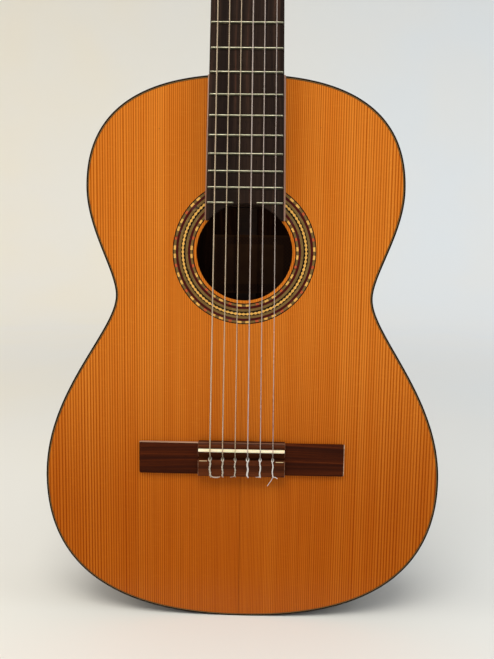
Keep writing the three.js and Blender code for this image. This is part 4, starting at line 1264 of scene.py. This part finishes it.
def saddle():
    """A bone saddle with a rounded top that falls a little towards its ends."""
    half = 1.2
    rings = []
    for x in np.linspace(-SADDLE_HALF, SADDLE_HALF, 60):
        top = SADDLE_TOP - 0.25 * (x / SADDLE_HALF) ** 2
        if abs(x) > SADDLE_HALF - 0.5:
            top -= 0.35
        section = [(-half, 3.8), (half, 3.8), (half, top - 0.9), (0.85, top - 0.3)]
        section += [(0.0, top), (-0.85, top - 0.3), (-half, top - 0.9)]
        rings.append([(x, -h, SADDLE_Z + dz) for dz, h in section])
    piece("saddle_bone", loft(rings), "saddle_bone", "saddle", grain=across_body)


# ---- Strings --------------------------------------------------------------------------------

# Each string's place along its roller, as x in the head.
LANES = {6: -20.0, 5: -16.5, 4: -13.5, 3: 13.5, 2: 16.5, 1: 20.0}
ROLLER_RADIUS = 5.0
ROLLER_WAIST_RADIUS = 4.85
ROLLER_DEPTH = 8.5
# How each string's end leaves the tie block: steps in x, y and z from the twist's last point.
TAILS = {
    6: [(0.9, 0.3, -1.2), (3.2, 1.0, -2.2), (6.0, 1.6, -2.4), (8.3, 1.9, -2.0)],
    5: [(-0.2, 0.4, -1.2), (-0.3, 2.2, -2.0)],
    4: [(-0.8, 0.5, -1.0), (-2.6, 1.6, -1.7), (-4.2, 2.2, -2.4)],
    3: [(0.3, 0.5, -1.3), (0.8, 2.0, -1.9)],
    2: [(-0.8, 0.5, -1.0), (-2.4, 1.4, -1.3), (-4.0, 2.0, -1.5)],
    1: [(0.6, 0.3, -0.9), (2.2, 0.8, -1.3), (3.9, 1.2, -2.6)],
}
# The first string's other end was left long: x from the string, y, and z from the block's rear.
FREE_END = [(0.2, -5.6, 0.6), (0.0, -6.2, -1.2), (-1.0, -5.2, -4.0), (-2.8, -3.4, -7.4), (-4.3, -2.4, -10.2)]
TIE_SHARE = 0.94


def is_wound(number):
    return number > 3


def string_look(number):
    return f"wound_wire_{number}" if is_wound(number) else "clear_nylon"


def tie_look(number):
    return "wound_tie_wire" if is_wound(number) else "white_nylon"


def roller_height(number):
    """The roller's height up the head, from its joint."""
    place = np.array(JOINTS[f"roller_{number}_turn"]["pos_m"]) / MM - (0.0, FACE_Y, 0.0)
    return (np.array(HEAD_TURN).T @ (place - HEAD_ORIGIN))[2]


def string_end(number):
    """Where a string meets its roller, in head coordinates, and its slope there."""
    r = STRING_RADII[number]
    start = (string_x(number, NUT_SPACING), -NUT_BEARING - 0.1 - r, NUT_Z + 1.2)
    start = np.array(HEAD_TURN).T @ (np.array(start) - HEAD_ORIGIN)
    reach = ROLLER_RADIUS + r + 0.06
    run_y = ROLLER_DEPTH - start[1]
    run_z = roller_height(number) - start[2]
    length = math.hypot(run_y, run_z)
    bearing = math.atan2(run_y, run_z) - math.asin(reach / length)
    tangent = math.sqrt(length**2 - reach**2)
    end = (LANES[number], start[1] + tangent * math.sin(bearing), start[2] + tangent * math.cos(bearing))
    return np.array(end), bearing


def string(number):
    """A string from its hole in the tie block, over saddle and nut, to its roller."""
    r = STRING_RADII[number]
    x = string_x(number, SADDLE_SPACING)
    nut_x = string_x(number, NUT_SPACING)
    over_saddle = -(SADDLE_TOP + r)
    bend = [
        (x, -HOLE_HEIGHT, BLOCK_Z[0] - 0.2),
        (x, -HOLE_HEIGHT, CHANNEL_Z[0]),
        (x, -HOLE_HEIGHT - 0.4, CHANNEL_Z[0] + 1.0),
        (x, over_saddle + 0.55, SADDLE_Z - 1.6),
        (x, over_saddle + 0.06, SADDLE_Z - 0.6),
        (x, over_saddle - 0.02, SADDLE_Z + 0.6),
    ]
    at_nut = (nut_x, -NUT_BEARING - 0.1 - r, NUT_Z + 0.4)
    past_nut = (nut_x, -NUT_BEARING - 0.06 - r, NUT_Z + 1.4)
    path = [
        respace(bend, 40),
        straight(bend[-1], at_nut, 40)[1:],
        straight(past_nut, head_to_body(string_end(number)[0]), 20),
    ]
    name = f"string_{number}"
    piece(f"{name}_line", tube(np.vstack(path), r, 12), string_look(number), name)


def string_tie(number):
    """The knot at the bridge: a loop at the block's front edge and a tail twisted along its top."""
    r = STRING_RADII[number]
    x = string_x(number, SADDLE_SPACING)
    rear = BLOCK_Z[0]
    front = CHANNEL_Z[0]
    turns, swing = (2.5, r * 0.75) if is_wound(number) else (4.5, r * 0.72)
    height = BLOCK_TOP + r + swing
    twist_z = np.linspace(front - 0.4, rear + 1.2, 70)
    wobble = 0.3 * np.sin((twist_z - rear) * 0.7 + number)
    strands = []
    for phase in (0.0, math.pi):
        angle = phase + np.linspace(0.0, turns * 2 * math.pi, len(twist_z))
        across_x = x + wobble + swing * np.cos(angle)
        strands.append(np.stack([across_x, -height - swing * np.sin(angle), twist_z], 1))
    rise = [
        (x + 0.1, -HOLE_HEIGHT, rear - 0.5),
        (x + 0.5, -HOLE_HEIGHT - 0.9, rear - r - 0.6),
        (x + 0.6, -BLOCK_TOP + 0.6, rear - r - 0.3),
        (x + 0.3, -BLOCK_TOP - r, rear + 0.5),
        strands[0][-1],
    ]
    loop = [
        strands[0][0],
        (x + 1.5 * r + 0.3, -BLOCK_TOP + 0.2, front + r + 0.4),
        (x + 1.4 * r, -HOLE_HEIGHT - 0.2 + r * 2, front + 1.3),
        (x - 1.4 * r, -HOLE_HEIGHT - 0.2 + r * 2, front + 1.4),
        (x - 1.5 * r - 0.3, -BLOCK_TOP + 0.2, front + r + 0.4),
        strands[1][0],
    ]
    curl = strands[1][-1] + [(0.0, 0.0, 0.0), *TAILS[number]]
    path = [
        smooth_curve(rise, 24)[:-1],
        strands[0][:0:-1],
        smooth_curve(loop, 36)[:-1],
        strands[1][:-1],
        smooth_curve(curl, 24),
    ]
    solid = tube(np.vstack(path), r * TIE_SHARE)
    piece(f"string_{number}_tie", solid, tie_look(number))


def free_end():
    path = smooth_curve((string_x(1, SADDLE_SPACING), 0.0, BLOCK_Z[0]) + np.array(FREE_END), 24)
    piece("string_1_free_end", tube(path, STRING_RADII[1] * TIE_SHARE), tie_look(1))


# ---- Neck and head --------------------------------------------------------------------------

HEEL_LENGTH = 75.0
HEEL_DEPTH = 144.0
NECK_DEPTH = (17.5, 15.5)
HEAD_HALF = 35.5
HEAD_LENGTH = 188.0
HEAD_THICKNESS = 17.5
SHOULDER = 14.0
VENEER = 2.8
SLOT = {"inner": 8.0, "outer": 24.5, "bottom": 12.0, "top": 130.0}
# The back of the shaft swells into the head from this far below the nut to this far above it.
SWELL_BELOW = 24.0
SWELL_ABOVE = 12.0
BACK_ANGLES = np.radians(np.linspace(0, 180, 61))


def neck_section(z, power=1.0):
    """A D-shaped section, narrowed towards the back where the heel meets the back's button."""
    half = board_half(z) - 0.1
    heel = clamp((z - BODY_LENGTH) / HEEL_LENGTH)
    share = (z - BODY_LENGTH) / (NUT_Z - BODY_LENGTH)
    shaft = NECK_DEPTH[0] + (NECK_DEPTH[1] - NECK_DEPTH[0]) * share
    depth = shaft + HEEL_DEPTH * (1 - heel) ** 2.4
    deepest = back_depth(0.0, z) - 0.1
    taper = 0.46 * clamp(1 - (z - BODY_LENGTH) / 17.0)
    points = []
    for angle in BACK_ANGLES:
        y = min(depth * math.sin(angle) ** power, deepest)
        narrow = 1 - taper * smoothstep((y - 15.0) / (deepest - 15.0))
        x = half * bulged(math.cos(angle), power) * narrow
        points.append((x, y, max(z, outline_top(x))))
    return points


def outline_top(x):
    """Height of the body's upper edge near the neck."""
    upper = HALF[HALF[:, 1] > UPPER[1]][::-1]
    return np.interp(abs(x), upper[:, 0], upper[:, 1])


def shoulder(half, start, steps):
    """The side's curve from the nut out to the head's full width."""
    return bezier((start, 0), (start + 0.5, 6), (half, 6), (half, SHOULDER), steps)


def neck():
    """The shaft and heel, which run into the head's blank behind the nut."""
    heel = BODY_LENGTH + HEEL_LENGTH * np.linspace(-0.03, 1.0, 44)
    shaft = np.linspace(BODY_LENGTH + HEEL_LENGTH, NUT_Z - SWELL_BELOW, 16)[1:]
    rings = [neck_section(z) for z in (*heel, *shaft)]
    for z in np.linspace(NUT_Z - 20, NUT_Z, 7):
        rings.append(neck_section(z, 1.0 - 0.35 * smoothstep((z - NUT_Z + SWELL_BELOW) / SWELL_BELOW)))
    side = shoulder(HEAD_HALF, NUT_HALF, 40)
    for v in (0.5, 3.0, 6.0, 9.0, 12.0):
        power = 0.65 - 0.35 * smoothstep(v / SWELL_ABOVE)
        half = np.interp(v, side[:, 1], side[:, 0]) - 0.4
        depth = 15.6 + (HEAD_THICKNESS - 0.5 - 15.6) * smoothstep(v / 9)
        ring = []
        for angle in BACK_ANGLES:
            ring.append((half * bulged(math.cos(angle), power), depth * math.sin(angle) ** power + 0.2, v))
        rings.append(head_to_body(ring))
    piece("neck_shaft", loft(rings), "neck_cedar", "neck")


def head_outline(margin=0.0):
    """The head with its shoulders and its crest of two hollows and a peak."""
    half = HEAD_HALF - margin
    top = HEAD_LENGTH - margin
    start = NUT_HALF - margin
    hollow = (half - 14, top - 6)
    right = [
        shoulder(half, start, 16),
        bezier((half, top - 14), (half - 3, top - 13.3), (half - 11, top - 10), hollow, 12),
        bezier(hollow, (15, top - 1.4), (7, top), (0, top), 12),
    ]
    right = without_repeats(np.vstack(right))
    return np.vstack([right, right[-2::-1] * (-1.0, 1.0)])


def slot_outline(sign):
    radius = (SLOT["outer"] - SLOT["inner"]) / 2
    x = sign * (SLOT["outer"] + SLOT["inner"]) / 2
    above = arc((x, SLOT["top"] - radius), radius, 0, 180, 21)
    below = arc((x, SLOT["bottom"] + radius), radius, 180, 360, 21)
    return np.vstack([above, below])


def head():
    """The slotted head with its rosewood veneer."""
    slots = [slot_outline(1), slot_outline(-1)]
    blank = slab(head_outline(), slots, across("y", 0.0, HEAD_THICKNESS), 0.5)
    head_piece("head_blank", blank, "neck_cedar")
    veneer = slab(head_outline(0.1), slots, across("y", -VENEER, -0.02), 0.4)
    head_piece("head_veneer_plate", veneer, "rosewood", "head_veneer")


# ---- Tuners ---------------------------------------------------------------------------------

PLATE_X = (35.8, 37.0)
PLATE_Y = (2.0, 15.0)
PLATE_V = (22.0, 128.0)
PLATE_CORNER = 2.4
PLATE_SCREWS = {"heights": (26.0, 53.5, 88.5, 123.0), "y": 8.5, "radius": 1.9, "rise": 0.9}
LUG = {"depths": (0.9, 14.7), "thickness": 1.4, "radius": 3.1, "hole": 1.45}
WORM_X = 40.3
# How far each worm lies below its roller.
WORM_OFFSET = 7.3
WORM_PITCH = 2.0
WORM_TURNS = 4.5
WORM_PITCH_RADIUS = 2.2
WORM_CORE = 1.2
# One ridge of the worm, as (offset along the shaft, radius).
WORM_RIDGE = ((-0.62, WORM_CORE), (-0.19, 2.7), (0.19, 2.7), (0.62, WORM_CORE))
SHAFT_PROFILE = (
    (0.0, 0.02), (0.0, 1.1), (0.2, 1.3), (3.1, 1.3), (3.1, 1.5), (14.1, 1.5), (14.1, 1.3), (18.4, 1.3),
    (18.4, 2.3), (19.2, 2.3), (20.4, 1.9), (22.0, 1.9), (22.0, 0.02),
)
GEAR_X = (38.9, 41.7)
GEAR_TEETH = 16
GEAR_PITCH_RADIUS = 5.1
# One side of a tooth, as (share of a tooth's turn from its middle, radius).
TOOTH_SIDE = ((0.06, 5.65), (0.115, 5.55), (0.2, 4.95), (0.31, 4.4))
GEAR_FACES = ((0.0, 0.94), (0.12, 1.0), (0.5, 1.0), (0.88, 1.0), (1.0, 0.94))
HUB = {"x": 35.0, "radius": 2.2, "rise": 0.2}
GEAR_SCREW = {"radius": 1.8, "rise": 0.7}
BARREL_X = 3.6
BARREL_PROFILE = (
    (0.0, 0.02), (0.0, 4.7), (0.3, ROLLER_RADIUS), (5.0, ROLLER_RADIUS), (5.4, ROLLER_WAIST_RADIUS),
    (20.4, ROLLER_WAIST_RADIUS), (20.8, ROLLER_RADIUS), (31.3, ROLLER_RADIUS), (31.6, 4.7), (31.6, 0.02),
)
BUTTON_Y = 28.5
BUTTON_HALF = (4.3, 8.5, 7.5)


def side_of(number):
    return -1 if number > 3 else 1


def screw(centre, sign, radius, rise):
    """A domed, slotted screw head that faces out along x."""
    profile = [(-1.0, radius), (0.1, radius), (rise * 0.6, radius * 0.85)]
    profile += [(rise, radius * 0.45), (rise, 0.02)]
    dome = revolve(profile, centre, (sign, 0, 0), 24)
    for vertex in dome.vertices:
        in_slot = abs(vertex[1] - centre[1]) < radius * 0.2
        if in_slot and (vertex[0] - centre[0]) * sign > 0.2 * rise:
            vertex[0] -= sign * rise * 0.5
    return dome


def tuner_plate(sign, name):
    """A side plate with screws and two bearing lugs for each worm."""
    (v0, v1), (y0, y1) = PLATE_V, PLATE_Y
    r = PLATE_CORNER
    corners = ((v1 - r, -y0 - r, 0), (v0 + r, -y0 - r, 90), (v0 + r, -y1 + r, 180), (v1 - r, -y1 + r, 270))
    edge = np.vstack([arc((v, h), r, start, start + 90, 8) for v, h, start in corners])
    x0, x1 = sorted((sign * PLATE_X[0], sign * PLATE_X[1]))
    solids = [slab(edge, [], across("x", x0, x1), 0.25)]
    for number in STRING_RADII:
        if side_of(number) != sign:
            continue
        x = sign * PLATE_X[0]
        centre = (sign * WORM_X, roller_height(number) - WORM_OFFSET)
        start, stop = (90, -90) if sign > 0 else (270, 90)
        tip = arc(centre, LUG["radius"], start, stop, 17)
        root = [(x, centre[1] - sign * LUG["radius"]), (x, centre[1] + sign * LUG["radius"])]
        hole = arc(centre, LUG["hole"], 360, 0, 17)[:-1]
        for y in LUG["depths"]:
            solids.append(slab(np.vstack([tip, root]), [hole], across("y", y, y + LUG["thickness"]), 0.2))
    plate = f"tuner_plate_{name}"
    head_piece(f"{plate}_brass", merged(solids), "gilt_brass", plate)
    screws = []
    for v in PLATE_SCREWS["heights"]:
        centre = (sign * PLATE_X[1], PLATE_SCREWS["y"], v)
        screws.append(screw(centre, sign, PLATE_SCREWS["radius"], PLATE_SCREWS["rise"]))
    head_piece(f"tuner_screws_{name}", merged(screws), "screw_steel")


def gear(number):
    """A brass gear whose teeth lean with the worm's lead, and the screw that holds it."""
    sign = side_of(number)
    body = f"roller_{number}"
    v = roller_height(number)
    lead = WORM_PITCH / (2 * math.pi * WORM_PITCH_RADIUS)
    tooth_profile = [(-offset, radius) for offset, radius in TOOTH_SIDE[::-1]] + list(TOOTH_SIDE)
    rings = []
    for t, size in GEAR_FACES:
        along = (t - 0.5) * (GEAR_X[1] - GEAR_X[0])
        ring = []
        for tooth in range(GEAR_TEETH):
            for offset, radius in tooth_profile:
                turn = (tooth + offset) * 2 * math.pi / GEAR_TEETH - math.pi / 2
                turn += along * lead / GEAR_PITCH_RADIUS
                y = ROLLER_DEPTH + size * radius * math.cos(turn)
                ring.append((sign * WORM_X + along, y, v + size * radius * math.sin(turn)))
        rings.append(ring)
    length = GEAR_X[1] - HUB["x"] + HUB["rise"]
    profile = [(0.0, HUB["radius"]), (length, HUB["radius"]), (length, 0.02)]
    hub = revolve(profile, (sign * HUB["x"], ROLLER_DEPTH, v), (sign, 0, 0), 24)
    head_piece(f"tuner_gear_{number}", merged([loft(rings), hub]), "gilt_brass", body=body)
    centre = (sign * (GEAR_X[1] + 0.1), ROLLER_DEPTH, v)
    head_screw = screw(centre, sign, GEAR_SCREW["radius"], GEAR_SCREW["rise"])
    head_piece(f"gear_screw_{number}", head_screw, "screw_steel", body=body)


def barrel(number):
    """The plastic barrel that takes up the string, with rims at its ends."""
    sign = side_of(number)
    centre = (sign * BARREL_X, ROLLER_DEPTH, roller_height(number))
    solid = revolve(BARREL_PROFILE, centre, (sign, 0, 0), 40)
    name = f"roller_barrel_{number}"
    head_piece(name, solid, "roller_plastic", f"string_roller_{number}", f"roller_{number}")


def winding(number):
    """The string's turns round its barrel, ending in the barrel's hole."""
    sign = side_of(number)
    r = STRING_RADII[number]
    v = roller_height(number)
    end, bearing = string_end(number)
    turns = 3.2 if is_wound(number) else 3.6
    angles = np.linspace(0.0, turns * 2 * math.pi, int(turns * 40))
    drift = 2.15 * r * np.clip(angles / (2 * math.pi) - 0.15, 0.0, None)
    lifted = ROLLER_WAIST_RADIUS + r + 0.02 + 0.16 * np.clip(1 - angles / 1.2, 0.0, None)
    y = ROLLER_DEPTH - lifted * np.cos(angles + bearing)
    helix = np.stack([end[0] + sign * drift, y, v + lifted * np.sin(angles + bearing)], 1)
    last = helix[-1]
    forward = last - helix[-2]
    forward /= np.linalg.norm(forward)
    inward = np.array((0.0, ROLLER_DEPTH - last[1], v - last[2]))
    inward /= np.linalg.norm(inward)
    dive = [last, last + forward * 1.2 + inward * 0.5, last + forward * 1.8 + inward * 2.0]
    solid = tube(np.vstack([helix[:-1], smooth_curve(dive, 10)]), r, 8)
    name = f"string_{number}_winding"
    head_piece(name, solid, string_look(number), body=f"roller_{number}")


def worm(number):
    """A right-handed worm on its shaft."""
    x = side_of(number) * WORM_X
    v = roller_height(number) - WORM_OFFSET
    start = ROLLER_DEPTH - WORM_PITCH * 2.5
    steps = 20
    count = int(WORM_TURNS * steps)
    rings = []
    for s in range(count + 1):
        angle = 2 * math.pi * s / steps
        # The ridge runs out at both ends.
        fade = min(1.0, s / 8.0, (count - s) / 8.0)
        ring = []
        for offset, radius in WORM_RIDGE:
            grown = WORM_CORE + (radius - WORM_CORE) * fade
            y = start + WORM_PITCH * s / steps + offset
            ring.append((x + grown * math.sin(angle), y, v + grown * math.cos(angle)))
        rings.append(ring)
    shaft = revolve(SHAFT_PROFILE, (x, -0.1, v), (0, 1, 0), 20)
    solid = merged([loft(rings), shaft])
    head_piece(f"tuner_worm_{number}", solid, "gilt_brass", body=f"button_{number}")


def button(number):
    """The pearl button on the shaft's end: a rounded oval, flattened on its sides."""
    x = side_of(number) * WORM_X
    v = roller_height(number) - WORM_OFFSET
    half_x, half_y, half_v = BUTTON_HALF
    rings = []
    for polar in np.radians(np.linspace(1.0, 179.0, 33)):
        y = BUTTON_Y - half_y * bulged(math.cos(polar), 0.85)
        spread = math.sin(polar) ** 0.85
        ring = []
        for a in turn_angles(40):
            across_x = half_x * bulged(math.cos(a), 0.75) * spread**0.75
            ring.append((x + across_x, y, v + half_v * bulged(math.sin(a), 0.75) * spread))
        rings.append(ring)
    name = f"pearl_button_{number}"
    head_piece(name, loft(rings), "pearl_plastic", f"tuner_button_{number}", f"button_{number}", 60)


# ---- Stage, light and camera, in metres -----------------------------------------------------

PAPER_WARM = (0.81, 0.75, 0.62)
PAPER_COOL = (0.72, 0.755, 0.765)
PAPER_MIDDLE = (0.765, 0.755, 0.71)
FLOOR_RADIUS = 2.6
SWEEP_RADIUS = 1.0
WALL_TOP = 4.5
AIR_COLOR = (0.96, 0.97, 1.0, 1.0)
AIR_STRENGTH = 0.6
LIGHT_AIM = (0.0, 0.0, 0.35)
# Each light's place, size, power and colour.
LIGHTS = {
    "key_light": ((-0.2, -1.1, 1.9), (1.4, 0.9), 24.0, (1.0, 0.97, 0.92)),
    "left_light": ((-2.2, -0.6, 1.5), (1.2, 1.6), 16.0, (1.0, 0.93, 0.82)),
    "right_light": ((2.2, -0.7, 1.6), (1.2, 1.6), 12.0, (0.90, 0.96, 1.0)),
}
SENSOR = 36.0
FOCAL_LENGTH = 35.51
# The camera's place, with y from the soundboard's face, and how it is turned in degrees.
EYE = (0.01373, FACE_Y * MM - 0.57201, 0.33184)
YAW, PITCH, ROLL = 1.05, -6.35, 0.825


def studio_paper():
    """Pale paper, warmer to the left. Reflections of its front part are dim, like an unlit room."""
    t = Tree("studio_paper")
    x, y, z = t.node("SeparateXYZ", {0: t.place()}).outputs
    cloud = t.noise(t.place(), 1.6)
    shade = t.mix(t.between(x, -1.2, 1.2), PAPER_WARM, PAPER_COOL)
    shade = t.mix(t.between(cloud, 0.3, 0.7, 0.5), shade, PAPER_MIDDLE)
    in_gloss = t.node("LightPath").outputs["Is Glossy Ray"]
    shade = t.mix(t.times(in_gloss, t.between(y, -0.02, -0.15, 0.97)), shade, (0.01, 0.01, 0.01))
    # The sheet's far parts glow a little, so that they look as bright as the near floor.
    distance = t.node("VectorMath", {0: t.place()}, operation="LENGTH").outputs["Value"]
    glow = t.math("SUBTRACT", t.between(distance, 0.5, 2.8, 0.27), t.between(z, 0.2, 3.0, 0.12))
    t.finish(shade, Roughness=0.9, Specular_IOR_Level=0.1, Emission_Color=shade, Emission_Strength=glow)


def round_sheet(name, profile):
    """A round sheet of studio paper from (radius, height) points."""
    count = 96
    vertices = [(r * math.cos(a), r * math.sin(a), z) for r, z in profile for a in turn_angles(count)]
    faces = []
    for k in range(len(profile) - 1):
        faces += band(k * count, (k + 1) * count, count)
    mesh = bpy.data.meshes.new(name)
    mesh.from_pydata(vertices, [], faces)
    mesh.materials.append(LOOKS["studio_paper"])
    mesh.polygons.foreach_set("use_smooth", [True] * len(faces))
    sheet = bpy.data.objects.new(name, mesh)
    bpy.context.scene.collection.objects.link(sheet)
    return sheet


def stage():
    """A pale floor that curves up into a wall all round, so that no horizon shows."""
    studio_paper()
    round_sheet("studio_floor", [(0.001, 0.0), (0.5, 0.0), (1.2, 0.0), (FLOOR_RADIUS, 0.0)])
    curve = []
    for a in np.radians(np.arange(0, 91, 6)):
        curve.append((FLOOR_RADIUS + SWEEP_RADIUS * math.sin(a), SWEEP_RADIUS * (1 - math.cos(a))))
    wall = round_sheet("studio_wall", curve + [(FLOOR_RADIUS + SWEEP_RADIUS, WALL_TOP)])
    # The air's light comes through the wall from all sides.
    wall.visible_shadow = False
    wall.visible_diffuse = False


def lighting():
    """Soft light from above and in front, with a warm left and a cool right."""
    world = bpy.data.worlds.new("studio_air")
    world.use_nodes = True
    background = world.node_tree.nodes["Background"]
    background.inputs["Color"].default_value = AIR_COLOR
    background.inputs["Strength"].default_value = AIR_STRENGTH
    bpy.context.scene.world = world
    for name, (place, size, power, color) in LIGHTS.items():
        light = bpy.data.lights.new(name, "AREA")
        light.shape = "RECTANGLE"
        light.size, light.size_y = size
        light.energy = power
        light.color = color
        lamp = bpy.data.objects.new(name, light)
        lamp.location = place
        lamp.rotation_euler = (Vector(LIGHT_AIM) - Vector(place)).to_track_quat("-Z", "Y").to_euler()
        lamp.visible_camera = False
        bpy.context.scene.collection.objects.link(lamp)
    bpy.context.scene.view_settings.view_transform = "Standard"
    bpy.context.scene.view_settings.look = "None"


def camera():
    """A camera in front of the body, a little above its middle, looking slightly down."""
    lens = bpy.data.cameras.new("camera")
    lens.sensor_width = SENSOR
    lens.lens = FOCAL_LENGTH
    lens.clip_start = 0.01
    eye = bpy.data.objects.new("camera", lens)
    turn = Matrix.Rotation(math.radians(YAW), 4, "Z")
    turn = turn @ Matrix.Rotation(math.radians(90.0 + PITCH), 4, "X")
    turn = turn @ Matrix.Rotation(math.radians(ROLL), 4, "Z")
    eye.matrix_world = Matrix.Translation(EYE) @ turn
    bpy.context.scene.collection.objects.link(eye)
    bpy.context.scene.camera = eye


# ---- The whole guitar -----------------------------------------------------------------------

# The CAD parts that are shown as they are: they only show through the soundhole.
INSIDE_LOOKS = {
    "top_lining": "lining_cedar",
    "back_lining": "lining_cedar",
    "tail_block": "lining_cedar",
    "upper_transverse_bar": "bar_spruce",
    "lower_transverse_bar": "bar_spruce",
    "fan_bracing": "fan_spruce",
    "back_bracing": "brace_cedar",
}

materials()
for node, look in INSIDE_LOOKS.items():
    shown = frame["nodes"][node].data.materials
    shown.clear()
    shown.append(LOOKS[look])
soundboard()
edging()
ribs()
back_plate()
label()
rosette()
fingerboard()
frets()
nut()
bridge_wing(1, "treble")
bridge_wing(-1, "bass")
saddle_block()
tie_block()
saddle()
neck()
head()
tuner_plate(1, "treble")
tuner_plate(-1, "bass")
for string_number in STRING_RADII:
    string(string_number)
    string_tie(string_number)
    gear(string_number)
    barrel(string_number)
    winding(string_number)
    worm(string_number)
    button(string_number)
free_end()
stage()
lighting()
camera()
